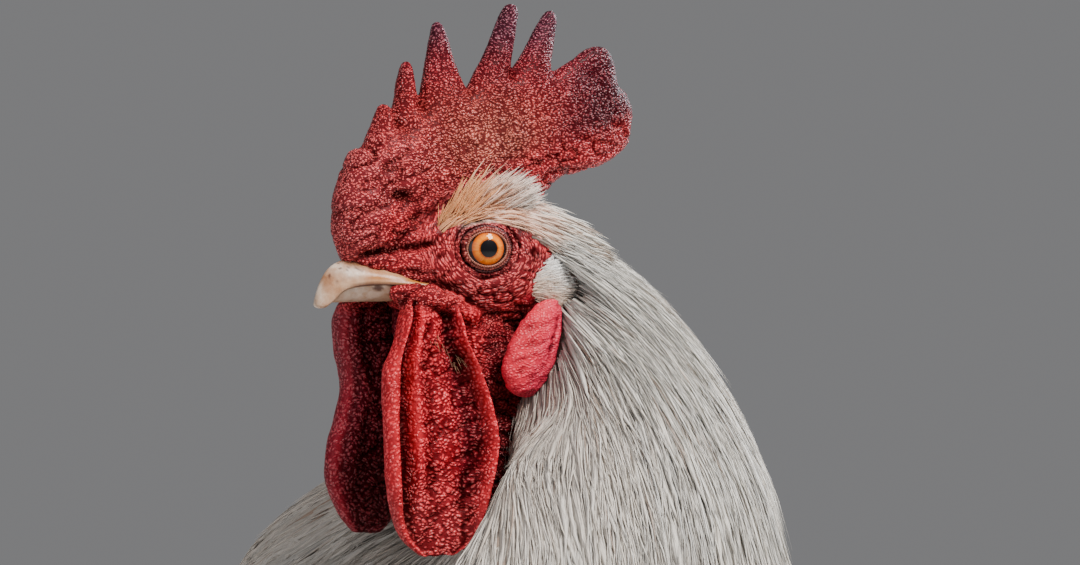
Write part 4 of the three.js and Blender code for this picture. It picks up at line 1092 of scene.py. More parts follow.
def build_lids():
    """Rims of small beads round the eyes."""
    g = Graph("lid_rim")
    material = g.set(Base_Color=g.attribute("tone", "Color"), Roughness=0.4, Specular_IOR_Level=0.5)
    turns, sides = 448, 10
    turn, a = around(turns), around(sides)[None, :, None]
    faces = grid_faces(turns + 1, sides) % (turns * sides)
    faces = np.concatenate([faces + number * turns * sides for number in range(len(LID_RINGS))])
    for name, side in SIDES:
        centre, look, ahead, up = eye_frame(side)
        points, tones = [], []
        for scale, radius, depth, beads, base in LID_RINGS:
            e1, e2 = np.cos(turn) * LID_OPEN[0] * scale, np.sin(turn) * LID_OPEN[1] * scale - 0.15
            high = np.sqrt(EYE_R**2 - np.minimum(np.hypot(e1, e2), 7.2) ** 2) + depth
            flat = column(e1) * ahead + column(e2) * up
            beat = np.abs(np.cos(turn * beads / 2))
            bead = radius * (0.72 + 0.28 * beat) * (1 + 0.1 * noise(xyz(turn * 7, 0, 0), 1, 5))
            round_it = np.cos(a) * unit(flat)[:, None] + np.sin(a) * look
            ring = (centre + column(high) * look + flat)[:, None] + bead[:, None, None] * round_it
            points.append(ring.reshape(-1, 3))
            # painted shade: each bead's colour darkens to a fifth in the narrow gaps between beads
            tones.append(np.repeat(column(0.2 + 0.8 * beat**0.7) * base, sides, axis=0))
        obj = mesh_object(f"lid_{name}", in_metres(from_head(np.concatenate(points))), [faces])
        paint(obj, "tone", np.concatenate(tones))
        finish_piece(obj, material)


# Sections of the bill's halves: [forward, top, bottom, half width].
UPPER_BILL = [
    [9, -9.6, -11.4, 12.8], [13, -8.2, -10.6, 12.6], [18, -6.4, -10, 11], [23, -4.4, -9.7, 9.1],
    [29, -3, -9.4, 7.2], [34.6, -3, -9.9, 5.3], [37.6, -3.8, -11, 4.2], [40, -5.4, -13.4, 3.3],
    [41.6, -7.4, -14.8, 2.7], [42.8, -9.7, -15.2, 2.1], [43.6, -11.9, -15.1, 1.5], [44, -13.4, -14.7, 0.8],
]
LOWER_BILL = [
    [9, -9.8, -14.4, 9.4], [17, -9.6, -14.3, 8.9], [25, -9.4, -14.2, 7.2], [32, -9.5, -14.2, 5],
    [36.4, -10.8, -14.3, 3.2], [39.6, -12.8, -14.3, 1.2],
]


def bill_half(rows, upper):
    """A bill's half with a ridge, flat cheeks and a sharp edge, as rings of points."""
    a = around(56)[None, :]
    u, top, bottom, wide = (c[:, None] for c in smooth_rows(rows, 70).T)
    outside = np.sin(a) * (1 if upper else -1) > 0
    edge, far = (bottom, top) if upper else (top, bottom)
    # the outer side swells from the cutting edge; the side inside the mouth stays almost flat
    rise = np.abs(np.sin(a))
    z = edge + (far - edge) * np.where(outside, rise**0.9, -0.12 * rise)
    narrow = 1 - np.where(outside, 0.36 * rise**1.8, 0.12 * rise)
    x = wide * np.sign(np.cos(a)) * np.abs(np.cos(a)) ** 0.85 * narrow
    if upper:
        slit = bump_at(u, 28, 1.9) * bump_at(z, -5.2, 0.6) * step(3, 5, np.abs(x))
        x = x * (1 - 0.2 * slit) * (1 - 0.04 * bump_at(z, -8.4, 0.5) * step(40, 30, u))
    return xyz(x, -u, z)


def build_bill():
    material = horn_material("bill_horn", (0.8, 0.6, 0.42), (0.6, 0.42, 0.3))
    cream, tan, ochre = (0.6, 0.39, 0.26), (0.33, 0.15, 0.065), (0.48, 0.17, 0.025)
    pale, umber = (0.8, 0.68, 0.58), (0.1, 0.035, 0.02)
    for name, rows in (("upper", UPPER_BILL), ("lower", LOWER_BILL)):
        points, quads, tris = tube(bill_half(rows, name == "upper"))
        u, v = -points[:, 1], points[:, 2]
        dense = smooth_rows(rows, 80)
        top, bottom = (np.interp(u, dense[:, 0], dense[:, c]) for c in (1, 2))
        rise = (v - bottom) / (top - bottom)
        wide, small = noise(points, 5, 41), noise(points, 1.6, 42)
        tones = Tones(cream)
        blend = tones.blend
        if name == "upper":
            blend(tan, step(0.4, 0.9, rise) * 0.85 * (1 + 0.6 * wide + 0.3 * small))
            blend(ochre, bump_at(rise, 0.3, 0.22) * step(35, 28, u) * (1 + 0.4 * wide + 0.2 * small))
            blend(ochre, 0.8 * step(20, 14, u))
            blend(pale, bump_at(u, 35.5 - 6 * (0.5 - rise), 1.8) * step(0.2, 0.6, rise) * 0.8)
            # the tip paler: the horn's own paler tip, with a painted highlight
            blend(pale, step(41.5, 43.5, u) * 0.7)
            specks = step(0.42, 0.6, noise(points, 0.75, 43)) * step(24, 30, u) * step(42, 40, u)
            blend(umber, 0.9 * specks * step(0.25, 0.6, rise))
            # painted shade: darker along the mouth line, where the bill's halves meet
            blend(umber, 0.85 * step(0.09, 0.03, rise) * step(37, 33, u))
        else:
            spot = np.hypot((u - 28.4) / 1.8, v + 10.5) + 0.3 * small
            blend(pale, 0.8 * bump_at(u, 31, 6) * (1 + 0.3 * wide))
            blend(tan, 0.45 * step(0.4, 0, rise) + 0.35 * step(27, 18, u) + 0.2 * small)
            # painted shade: darker along the top edge, under the upper bill
            blend(umber, 0.7 * step(0.9, 0.97, rise))
            blend(umber, 0.95 * step(1, 0.6, spot) * (points[:, 0] > 0))
        obj = mesh_object(f"bill_{name}", in_metres(from_head(points)), [quads, tris])
        paint(obj, "tone", tones.tone)
        finish_piece(obj, material, [f"beak_{name}"])


# ---------------------------------------------------------------- pieces: feathers

CREAM = np.array([0.85, 0.78, 0.68])
WHITE = np.array([0.95, 0.925, 0.875])
GREY = np.array([0.44, 0.42, 0.39])
BEIGE = np.array([0.5, 0.4, 0.3])
BUFF = np.array([0.92, 0.38, 0.12])
RUST = np.array([0.3, 0.13, 0.05])
SALMON = np.array([0.98, 0.53, 0.35])


def mixed(rng, count, *pairs):
    """One colour for each feather: a blend of colours, each with its weight."""
    weights = np.stack([w * rng.gamma(2.0, 0.5, count) for _, w in pairs], -1)
    return weights / weights.sum(-1, keepdims=True) @ np.array([c for c, _ in pairs])


def along_each(colours, s, low, high=1.03):
    """Colours along feathers that have one each, `low` as bright at the root and `high` at the tip: painted
    shade towards the roots, under the feathers that overlap them.
    """
    return colours[:, None] * lerp(low, high, s)[..., None]


def kept(keep, *arrays):
    """Only the feathers for which `keep` is true, of each array."""
    return [a[keep] for a in arrays]


def straight(start, aim, long, s, droop=0.0):
    """Paths from each start along each aim, whose tips hang by `droop` of their length."""
    path = start[:, None] + aim[:, None] * (column(long) * s)[..., None]
    return path + [0, 0, -1] * (column(long) * droop * s**2)[..., None]


def ragged(s, share, seed, amount, third=0.0):
    """A factor near 1 that makes a vane's edge uneven."""
    return 1 + amount * noise(xyz(s, share, third), 1.0, seed)


def clear_of_face(path):
    """Which feathers leave the earlobes, the ear tufts and the bare face free, also seen from ahead."""
    p = to_head(path)
    x = np.abs(p[..., 0])
    back = p[..., 1] + 0.62 * np.maximum(x - LOBE_AT[0], 0)
    across, along = lobe_axes(back, p[..., 2])
    lobe = (across / 7) ** 2 + (along / 14) ** 2 < 1
    tuft = ((back - 18.6) / 7) ** 2 + ((p[..., 2] + 9.4) / 6.4) ** 2 < 1
    bare = (back < 8) & (p[..., 2] > -38)
    return ~((lobe | tuft | bare) & (x > 11)).any(axis=1)


def hackle_colour(rng, t, angle):
    """White on the nape and the left shoulder; on the front, painted shade: darker and warmer near the face,
    darker and greyer low in front.
    """
    colour = mixed(rng, len(t), (WHITE, 2.6), (CREAM, 1.6), (GREY, 0.35), (BEIGE, 0.25))
    front = step(0.9, 2.2, np.abs(angle))
    # painted shade on the hackle's front: a darker, warmer beige near the face and a darker grey lower down
    colour = lerp(colour, np.array([0.52, 0.34, 0.24]), column(0.42 * front * step(3.2, 0.6, t)))
    colour = lerp(colour, np.array([0.4, 0.37, 0.33]), column(0.45 * front * step(1.6, 4, t)))
    rusty = (rng.random(len(t)) < 0.07) & (t < 1.6)
    colour = np.where(column(rusty), lerp(colour, RUST, 0.55), colour)
    return np.where(column(rng.random(len(t)) < 0.05), colour * 0.55, colour)


def along_hackle(t0, angle0, long, drift, s, low, high, wave=0.0):
    """Paths down the hackle, from roots at height `low` to tips at height `high`."""
    t = column(t0) + column(long) * s
    lift = lerp(column(low), column(high), s**0.75) - 1.6 * step(3.2, 0.8, t) - 0.8
    return hackle_point(t, column(angle0) + column(drift) * s + wave, lift)


def sunk(lift, t, angle):
    """Roots lie deeper beside the bare face, where the skin falls away from the hackle."""
    return lift - 5 * step(1.5, 0.3, t) * step(0.8, 1.4, np.abs(angle))


def hackle_density(t, angle):
    """How close the hackle's feathers stand: closest beside the bare face."""
    aside = np.abs(angle)
    near_face = step(1.6, 0.8, t) * step(0.4, 0.7, aside)
    return np.clip(0.36 + 0.13 * t + 0.3 * (aside > 1.2) + 0.4 * near_face, 0, 1)


def hackle_lengths(rng, t, angle, least, most, grown, uneven, longest):
    """Lengths in rings, that grow down to ring `grown` and differ more in front."""
    long = lerp(least, most, step(0, grown, t)) * rng.uniform(*uneven, len(t))
    return long * lerp(1, rng.uniform(0.4, longest, len(t)), step(2, 5, t) * step(1.5, 2.4, np.abs(angle)))


def wavy(rng, count, s, height, waves):
    """Small sideways waves along each feather."""
    return height * np.sin(s * waves + column(rng.uniform(0, 6, count)))


def hackle_place(t, angle):
    """Where a feather's root lies on the hackle's unwrap."""
    return xyz(angle / 6.4 + 0.5, t / 8 + 0.1)


def build_hackle(material):
    rng = np.random.default_rng(11)
    s = shares(9)
    coat = Coat("hackle_feathers")
    t, a = spread(rng, 3400, (-0.15, -math.pi), (5.2, math.pi), hackle_density)
    n = len(t)
    long = hackle_lengths(rng, t, a, 1.3, 2.5, 3.5, (0.65, 1.2), 1.0)
    drift = rng.normal(0, 0.035, n)
    wave = wavy(rng, n, s, 0.02, 5)
    path, out = along_hackle(t, a, long, drift, s, sunk(-5.5, t, a), rng.normal(-0.9, 0.5, n), wave)
    path, out, t, a = kept(clear_of_face(path), path, out, t, a)
    half = column(lerp(1.5, 3.0, step(0, 4, t)) * rng.uniform(0.8, 1.2, len(t))) * lancet(s)
    colour = along_each(hackle_colour(rng, t, a), s, 0.8, 1.0)
    coat.add(path, out, half, half * 0.28 + 0.12, colour, hackle_place(t, a))
    coat.build(material)

    s = shares(5)
    for number in range(3):
        rng = np.random.default_rng(30 + number)
        coat = Coat(f"hackle_strands_{number}")
        t, a = spread(rng, 6700, (-0.2, -math.pi), (5.8, math.pi), hackle_density)
        n = len(t)
        locks = noise(xyz(a * 16, t * 0.6, 0), 1.0, 77)
        long = hackle_lengths(rng, t, a, 1.1, 2.0, 3, (0.6, 1.25), 1.05)
        drift = rng.normal(0, 0.05, n) - 0.05 * locks
        wave = wavy(rng, n, s, 0.012, 6)
        top = rng.normal(-0.1, 0.4, n) + 0.75 * locks
        path, out = along_hackle(t, a, long, drift, s, sunk(-3.2, t, a), top, wave)
        path, out, t, a, locks = kept(clear_of_face(path), path, out, t, a, locks)
        wide = rng.uniform(0.22, 0.62, len(t)) * lerp(0.7, 1.2, step(0, 4, t))
        wide *= lerp(0.6, 1, np.maximum(step(0.8, 1.8, t), step(1.0, 0.6, np.abs(a))))
        half = column(wide) * lancet(s, 0.3, 0.5)
        # painted shade and light: strands sunk between the locks are tinted darker and those in raised locks
        # lighter
        colour = hackle_colour(rng, t, a) * column(1.02 + 0.3 * np.clip(locks, -0.9, 0.4))
        coat.add(path, out, half, half * 0.45, along_each(colour, s**0.7, 0.55, 1.06), hackle_place(t, a))
        coat.build(material)


# How far down the feathers of the crown reach: [mm behind the eyes, angle from the top].
CROWN_EDGE = [[-14, 1.14], [-10, 1.04], [-4, 0.96], [3, 0.97], [8, 1.0], [13, 1.14], [18, 1.3], [36, 1.6]]
EAR_AT, EAR_HALF = (17.6, 19.2, -9.2), (6.8, 6.2)  # the ear tuft's middle and its half axes
EAR_CLEAR = (7.2, 6.6)  # half axes of what the other feathers leave free round it


def brow_start(angle):
    return lerp(-3, -14, step(0.3, 1.0, angle))


def behind_comb(rng, back, angle):
    """The brow starts low beside the eye and higher up only farther back, with a ragged edge."""
    return back > brow_start(angle) + rng.gamma(1.2, 1.6, len(back)) - 1


def turned_out(out):
    """Directions of the head's frame in the bird's frame."""
    return from_head(out) - EYES


def head_batch(coat, rng, side, back, angle, aim, long, bow, wide, colour, s, stray=0.08):
    """Short feathers that leave the skull at `aim` and bow down towards their tips."""
    start, out = skull_point(back, side * angle, -0.9)
    aim = unit(aim * [side, 1, 1] + rng.normal(0, stray, aim.shape) + out * 0.12)
    path = straight(start, aim, long, s)
    path = path + np.array([0, 0.25, -0.9]) * (column(long * bow) * s**2)[..., None]
    half = column(wide) * lancet(s, 0.35, 0.6)
    over = np.hypot(*((path[..., c] - EAR_AT[c]) / EAR_CLEAR[c - 1] for c in (1, 2))) < 1
    place = xyz(0.5 + side * angle / 4, (back + 16) / 56)
    path, out, half, colour, place = kept(~over.any(axis=1), path, out, half, colour, place)
    coat.add(from_head(path), turned_out(out)[:, None], half, half * 0.65, colour, place)


def add_crown(coat, rng, side, s):
    """Crown and nape: swept back from the brow over the skull."""
    back, angle = spread(rng, 2700, (-13, 0.1), (36, 1.6))
    reach = np.interp(back, *np.array(CROWN_EDGE).T)
    keep = (angle < reach * rng.uniform(0.93, 1.0, len(back))) & behind_comb(rng, back, angle)
    back, angle, reach = kept(keep, back, angle, reach)
    n = len(back)
    long = lerp(6, 11, step(-12, 14, back)) * rng.uniform(0.75, 1.2, n)
    here, _ = skull_point(back, angle)
    there, _ = skull_point(np.minimum(back + 2, 36), angle * lerp(1, 1.04, step(0, 10, back)))
    lie = unit(there - here + [0, 1e-3, 0])
    aim = unit(lie + xyz(0, 0, lerp(0.75, 0.0, step(-14, 6, back))))
    aim = aim + unit(here - [0, 0, -4]) * column(lerp(0.1, -0.06, step(2, 20, back)))
    aim[:, 0] = np.abs(aim[:, 0])
    tones = Tones(mixed(rng, n, (CREAM, 1.4), (WHITE, 1.2), (BEIGE, 0.25)))
    fore = step(9, -9, back + rng.normal(0, 3, n))
    tones.blend(SALMON, 0.75 * step(26, 3, back + rng.normal(0, 4, n)))
    tones.blend(BUFF, 0.75 * fore)
    tones.blend(RUST, 0.55 * ((rng.random(n) < 0.28) & (back > 15)))
    rim = step(0.9, 0.99, angle / reach) * step(6, 12, back)
    tones.blend((0.08, 0.045, 0.03), 0.8 * rim * (rng.random(n) < 0.7))
    colour = along_each(tones.tone, s, 0.85, 1.06)
    wide = rng.uniform(0.24, 0.56, n) * lerp(0.55, 1.3, step(-10, 24, back))
    head_batch(coat, rng, side, back, angle, aim, long, 0.24 * rng.uniform(0.5, 1.3, n), wide, colour, s)


def add_brow(coat, rng, side, s):
    """The tuft that sweeps up beside the comb."""
    back, angle = rng.uniform(-13, 13, 1100), rng.uniform(0.3, 0.95, 1100)
    keep = behind_comb(rng, back, angle) & (angle < lerp(0.98, 0.7, step(-8, 2, back)))
    back, angle = kept(keep, back, angle)
    n = len(back)
    ahead = step(4, -11, back)
    aim = xyz(0.12, lerp(0.95, 0.5, ahead), lerp(0.5, 0.9, ahead))
    long = lerp(14, 12.5, ahead) * rng.uniform(0.45, 1.2, n) * lerp(1, 0.65, step(6, 13, back))
    tones = Tones(mixed(rng, n, (CREAM, 1.0), (WHITE, 1.0)))
    tones.blend(SALMON, 0.7 * step(18, 0, back + rng.normal(0, 3, n)))
    tones.blend(BUFF, 0.9 * step(5, -6, back + rng.normal(0, 3, n)))
    colour = Tones(along_each(tones.tone, s, 0.85, 1.05))
    colour.blend(WHITE, 0.45 * step(0.4, 1, s) * column(step(-6, 2, back)))
    wide = rng.uniform(0.18, 0.44, n) * lerp(1, 0.6, ahead)
    bow = 0.1 * rng.uniform(0.2, 1.2, n)
    head_batch(coat, rng, side, back, angle, aim, long, bow, wide, colour.tone, s, 0.14)


def add_hairs(coat, side, path, half, colour, place):
    """Hairlike feathers given in the head's frame, each of one colour."""
    coat.add(from_head(path), turned_out([side, 0, 0]), half, half * 0.8, colour[:, None], place)


def add_ear(coat, rng, side, s):
    """The ear tuft: fine, soft and round."""
    n = 1500
    a = rng.uniform(0, 2 * np.pi, n)
    r = np.sqrt(rng.random(n))
    across, rise, dome = r * np.cos(a), r * np.sin(a), np.sqrt(1 - r**2)
    x = side * (EAR_AT[0] - 1.4 + 1.2 * dome)
    start = xyz(x, EAR_AT[1] + EAR_HALF[0] * across, EAR_AT[2] + EAR_HALF[1] * rise)
    aim = xyz(side * (0.3 + 0.35 * dome), 0.65 + 0.45 * across, 0.35 + 0.55 * rise)
    aim = unit(aim + rng.normal(0, 0.13, (n, 3)))
    long = rng.uniform(2.2, 4.4, n) * lerp(0.6, 1, dome)
    path = straight(start, aim, long, s) + xyz(0, 0.5, -0.12) * (column(long) * s**2)[..., None]
    half = column(rng.uniform(0.11, 0.22, n)) * lancet(s, 0.3, 0.7)
    low = step(0.35, -0.9, rise + 0.7 * across + rng.normal(0, 0.2, n))
    # painted light: the white is tinted above 1, brighter than white, for a tuft that faces away from the
    # lamps; the buff low part is its own colour
    base = lerp(np.array([1.12, 1.11, 1.09]), np.array([0.86, 0.6, 0.42]), column(low * 0.8))
    place = xyz(0.5 + side * (0.3 + 0.05 * across), 0.5 + 0.05 * rise)
    add_hairs(coat, side, path, half, base * column(rng.uniform(0.9, 1.03, n)), place)


def add_nape(coat, rng, side, s):
    """The sides of the nape, just behind the ear tuft."""
    t, a = spread(rng, 620, (-0.35, 0.3), (0.9, 1.45))
    n = len(t)
    long, drift = rng.uniform(0.45, 0.95, n), rng.normal(0, 0.05, n)
    path, out = along_hackle(t, side * a, long, drift, s, sunk(-4, t, a + 0.6), rng.normal(0, 0.4, n))
    path, out, t, a = kept(clear_of_face(path), path, out, t, a)
    half = column(rng.uniform(0.25, 0.55, len(t))) * lancet(s, 0.3, 0.5)
    colour = along_each(hackle_colour(rng, t, a), s, 0.7, 1.0)
    coat.add(path, out, half, half * 0.5, colour, xyz(0.5 + side * (0.32 + a / 12), t / 8 + 0.3))


def add_bristles(coat, rng, side, s):
    """A few bristles over the wattle's root."""
    n = 16
    spot = np.where(rng.random((n, 1)) < 0.5, [13.8, -22], [8.4, -27]) + rng.normal(0, 1.3, (n, 2))
    aim = unit(np.array([side * 0.85, -0.2, -0.42]) + rng.normal(0, 0.12, (n, 3)))
    path = straight(xyz(side * 9.5, -spot[:, 0], spot[:, 1]), aim, rng.uniform(8, 11, n), s)
    path[..., 2] -= 1.2 * s**2
    half = column(rng.uniform(0.14, 0.24, n)) * lancet(s, 0.3, 0.8)
    colour = column(rng.uniform(0.2, 0.9, n)) * np.array([0.5, 0.3, 0.16])
    add_hairs(coat, side, path, half, colour, xyz(0.5 + side * 0.44, 0.2 + 0.01 * aim[:, 2]))


def add_fringe(coat, rng, side, s):
    """The dark fringe behind the ear tuft."""
    n = 200
    a = rng.uniform(-1.2, 1.3, n)
    start = xyz(side * (EAR_AT[0] - 0.6), EAR_AT[1] + 5.6 * np.cos(a), EAR_AT[2] + 6 * np.sin(a))
    aim = unit([side * 0.42, 0.5, -0.65] + rng.normal(0, 0.1, (n, 3)))
    path = straight(start, aim, rng.uniform(3.5, 7, n), s)
    half = column(rng.uniform(0.12, 0.22, n)) * lancet(s, 0.3, 0.7)
    colour = column(rng.uniform(0.5, 1.6, n)) * np.array([0.07, 0.045, 0.03])
    add_hairs(coat, side, path, half, colour, xyz(0.5 + side * 0.38, 0.5 + 0.03 * a))


def build_crown(material):
    """Short feathers of the crown and nape, the brows, and the tufts over the ears."""
    rng = np.random.default_rng(5)
    coat, tufts = Coat("crown_feathers"), Coat("ear_tufts")
    s = shares(5)
    for side in (1, -1):
        add_crown(coat, rng, side, s)
        add_brow(coat, rng, side, s)
        add_ear(tufts, rng, side, s)
        add_nape(coat, rng, side, s)
        add_bristles(tufts, rng, side, s)
        add_fringe(tufts, rng, side, s)
    coat.build(material)
    tufts.build(material)


def over_torso(y, angle, lift, end=TORSO_END, drop=0.0):
    """Points over the torso, that run straight on past its end."""
    path, out = torso_point(np.minimum(y, end), angle, lift)
    past = np.maximum(y - end, 0)
    return path + xyz(0, past, -drop * past), out


def body_density(y, angle):
    """How much of the torso its feathers cover: less under the hackle, the saddle and the wings."""
    z = torso_point(y, angle)[0][:, 2]
    wing = (np.abs(y + 40) < 66) & (z > 240) & (z < 300)
    open_part = np.where(wing, 0.2, np.where(y < -130, 1.0, 0.8))
    return np.where((z > 312) & (y < 0), np.where(y < -90, 0, 0.1), open_part)


def build_torso(vanes):
    rng = np.random.default_rng(3)
    s = shares(7)
    coat = Coat("body_feathers")
    y0, a0 = spread(rng, 3000, (-176, -math.pi), (108, math.pi), body_density)
    n = len(y0)
    long = lerp(24, 32, step(-150, 60, y0)) * rng.uniform(0.85, 1.15, n)
    fall = 0.42 * np.sin(a0) * step(math.pi, 1.2, np.abs(a0)) + rng.normal(0, 0.1, n)
    y = column(y0) + column(long) * s * np.cos(column(fall))
    angle = column(a0) + column(np.sin(fall) * long / np.maximum(torso_row(y0)[2], 20)) * s
    top = lerp(2.6, 4.2, step(60, 105, y0)) * rng.uniform(0.6, 1.2, n)
    path, out = over_torso(y, angle, lerp(-3.5, column(top), s**0.8))
    half = column(lerp(5, 6.6, step(-150, 0, y0)) * rng.uniform(0.85, 1.15, n)) * paddle(s)
    colour = along_each(mixed(rng, n, (WHITE, 2.4), (CREAM, 1.6), (GREY, 0.25)), s, 0.72)
    coat.add(path, out, half, 0.5, colour, xyz(a0 / 6.4 + 0.5, (y0 + 180) / 300), camber=0.18)
    coat.build(vanes)


def build_saddle(material):
    """Long pointed feathers that hang from the back over the flanks."""
    rng = np.random.default_rng(8)
    coat = Coat("saddle_feathers")
    s = shares(9)
    for side in (1, -1):
        y0, a0 = spread(rng, 1150, (-44, 0.0), (84, 1.0))
        n = len(y0)
        long = lerp(66, 58, a0) * rng.uniform(0.75, 1.1, n) * lerp(1, 0.72, step(50, 84, y0))
        swing = lerp(0.08, 0.5, a0) * rng.uniform(0.8, 1.2, n) * lerp(0.6, 1.1, step(-10, 60, y0))
        height = column(lerp(5, 11, step(-30, 60, y0)) * rng.uniform(0.55, 1.05, n))
        angle = side * (column(a0) + column(swing) * s)
        lift = -2.5 + (height + 2.5) * s**0.9
        path, out = over_torso(column(y0) + column(long) * s, angle, lift, SADDLE_END, 0.12)
        half = column(rng.uniform(2, 3.2, n)) * lancet(s, 0.3, 0.5)
        colour = along_each(mixed(rng, n, (WHITE, 2.0), (CREAM, 2.0), (GREY, 0.3), (BEIGE, 0.2)), s, 0.82)
        place = xyz(0.5 + side * (a0 + 0.05) / 2.4, (y0 + 20) / 120)
        coat.add(path, out, half, half * 0.25 + 0.12, colour, place)
    coat.build(material)


def add_thigh(coat, rng, side, s):
    """Small overlapping feathers down to the bare shank."""
    t0, a0 = spread(rng, 1350, (-0.3, -math.pi), (4.75, math.pi))
    n = len(t0)
    long = lerp(0.85, 0.5, step(1, 4.6, t0)) * rng.uniform(0.8, 1.15, n)
    t = column(t0) + column(long) * s
    angle = column(a0 + rng.normal(0, 0.05, n))
    lift = lerp(-3, column(rng.uniform(0.6, 2.0, n)), s**0.8) - 2.2 * step(4.2, 5, t)
    path, out = thigh_point(side, np.minimum(t, 4.97), angle, lift)
    half = column(lerp(4.4, 2.2, t0 / 5) * rng.uniform(0.8, 1.15, n)) * paddle(s, 0.5, 0.4, 0.1)
    colour = along_each(mixed(rng, n, (WHITE, 2.4), (CREAM, 1.8), (GREY, 0.2)), s, 0.75)
    place = xyz((0.25 if side > 0 else 0.75) + a0 / 13.5, t0 / 5.2)
    coat.add(path, out, half, 0.4, colour, place, camber=0.2)


def add_fluff(coat, rng, side, s):
    """The fluff behind the legs."""
    y0, a0 = spread(rng, 420, (50, 1.9), (112, math.pi))
    n = len(y0)
    long = column(rng.uniform(22, 34, n))
    lift = lerp(-3, column(rng.uniform(2, 6, n)), s)
    path, out = over_torso(column(y0) + long * s * 0.7, side * column(a0), lift, drop=0.6)
    path[..., 2] -= long * 0.35 * s**1.5
    half = column(rng.uniform(2, 4.4, n)) * lancet(s, 0.45, 0.5)
    colour = mixed(rng, n, (WHITE, 2.4), (CREAM, 1.2))[:, None]
    coat.add(path, out, half, 0.4, colour, xyz(0.5 + side * a0 / 8, (y0 - 50) / 70))


def add_rump(coat, rng, side, s):
    """The rump's end, which faces backwards."""
    n = 460
    a0 = rng.uniform(0.25, math.pi, n)
    inner = np.where(rng.random(n) < 0.5, 1, np.sqrt(rng.random(n)))
    y0 = np.where(inner < 1, 106, rng.uniform(62, 110, n))
    rim, out = torso_point(y0, side * a0, -2.5)
    top, bottom, _ = torso_row(y0)
    start = lerp(xyz(0, y0, (top + bottom) / 2), rim, column(inner))
    aim = unit(out * column(0.55 * inner) + [0, 0.62, -0.42] + rng.normal(0, 0.12, (n, 3)))
    path = straight(start, aim, rng.uniform(16, 27, n), s, 0.3)
    half = column(rng.uniform(2.2, 4, n)) * lancet(s, 0.45, 0.5)
    colour = along_each(mixed(rng, n, (WHITE, 2.4), (CREAM, 1.2)), s, 0.85)
    place = xyz(0.5 + side * a0 / 8, 0.9 - 0.1 * inner)
    coat.add(path, unit(out + [0, 0.9, 0.25])[:, None], half, 0.4, colour, place)


def build_thighs(material):
    """Thighs, and the fluff under the tail."""
    rng = np.random.default_rng(9)
    coat = Coat("thigh_feathers")
    s = shares(7)
    for side in (1, -1):
        add_thigh(coat, rng, side, s)
        add_fluff(coat, rng, side, s)
        add_rump(coat, rng, side, s)
    coat.build(material)


# Rows of wing feathers: how many, roots and tips as [y, z] for the lowest and the highest feather, half
# width, lift at the lowest and highest feather, and where they are widest.
WING_ROWS = [
    (6, ((-42, 226), (-22, 252)), ((72, 212), (92, 240)), 5.4, 1.6, 4.4, 0.7),
    (12, ((-50, 224), (-38, 302)), ((30, 214), (68, 282)), 8.2, 3.4, 7.6, 0.72),
    (12, ((-80, 230), (-70, 308)), ((-26, 220), (-6, 304)), 7.2, 5.2, 9.8, 0.66),
    (12, ((-100, 238), (-92, 310)), ((-56, 230), (-40, 308)), 6.6, 6.4, 10.6, 0.6),
    (12, ((-110, 240), (-104, 310)), ((-78, 234), (-70, 312)), 5.6, 7, 11, 0.55),
    (12, ((-117, 242), (-114, 306)), ((-92, 236), (-87, 312)), 5.0, 6.6, 10.4, 0.55),
    (11, ((-122, 248), (-121, 300)), ((-103, 242), (-99, 308)), 4.6, 5.2, 8.4, 0.55),
    (10, ((-127, 254), (-126, 294)), ((-111, 248), (-108, 302)), 4.4, 3.4, 5.4, 0.55),
]


def build_wings(material):
    for name, side in SIDES:
        rng = np.random.default_rng(40)
        coat = Coat(f"wing_feathers_{name}")
        for number, (count, roots, tips, wide, low, high, widest) in enumerate(WING_ROWS):
            flight = number < 2
            s = shares(16 if flight else 11)
            n = count if flight else count * 2
            share = column(np.linspace(0, 1, n) + rng.normal(0, 0.018, n))
            (y0, z0), (y1, z1) = ([lerp(a[c], b[c], share) for c in (0, 1)] for a, b in (roots, tips))
            y1 = y1 + rng.normal(0, 3.2, (n, 1))
            z1 = z1 + rng.normal(0, 1.2, (n, 1))
            height = lerp(low, high, share) + rng.normal(0, 0.15, (n, 1))
            z = lerp(z0, z1, s) + 3 * np.sin(np.pi * s)
            path, out = flank(side, lerp(y0, y1, s), z, height * np.clip(0.3 + s * 2.2, 0, 1))
            out = unit(out + [0, 0, -0.13])
            half = wide * rng.uniform(0.88, 1.1, (n, 1)) * paddle(s, widest, 0.35, 0.1)
            half = half * ragged(s * 30, share * 90, number, 0.05)
            colour = along_each(mixed(rng, n, (WHITE, 2.4), (CREAM, 1.4), (GREY, 0.15)), s, 0.8)
            place = xyz(share[:, 0] * 0.9 + 0.05, number / 8 + 0.08)
            coat.add(path, out, half, 0.55, colour, place, BROAD, camber=0.16)
        coat.build(material, [f"wing_{name}"])


TAIL_ROOT = np.array([0, 100, 312])
# Sickle feathers: [scale, rise in degrees, x at the root, x at the tip, how far the tip droops].
SICKLES = [
    [1, 80, 4.6, 13, 0.08], [0.93, 77, 7, 18, 0.16], [0.87, 73, 9.4, 22, 0.06],
    [0.8, 69, 11.6, 27, 0.14], [0.74, 66, 12.6, 30, 0.02], [0.67, 61, 13.7, 34, 0.1],
    [0.61, 57, 14.4, 36, -0.02], [0.55, 52, 15.2, 38, 0.08], [0.48, 47, 16, 40, -0.04],
]
SICKLE_REACH = 205


def bezier(a, b, c, d, s):
    s = s[..., None]
    return a * (1 - s) ** 3 + 3 * b * s * (1 - s) ** 2 + 3 * c * s**2 * (1 - s) + d * s**3


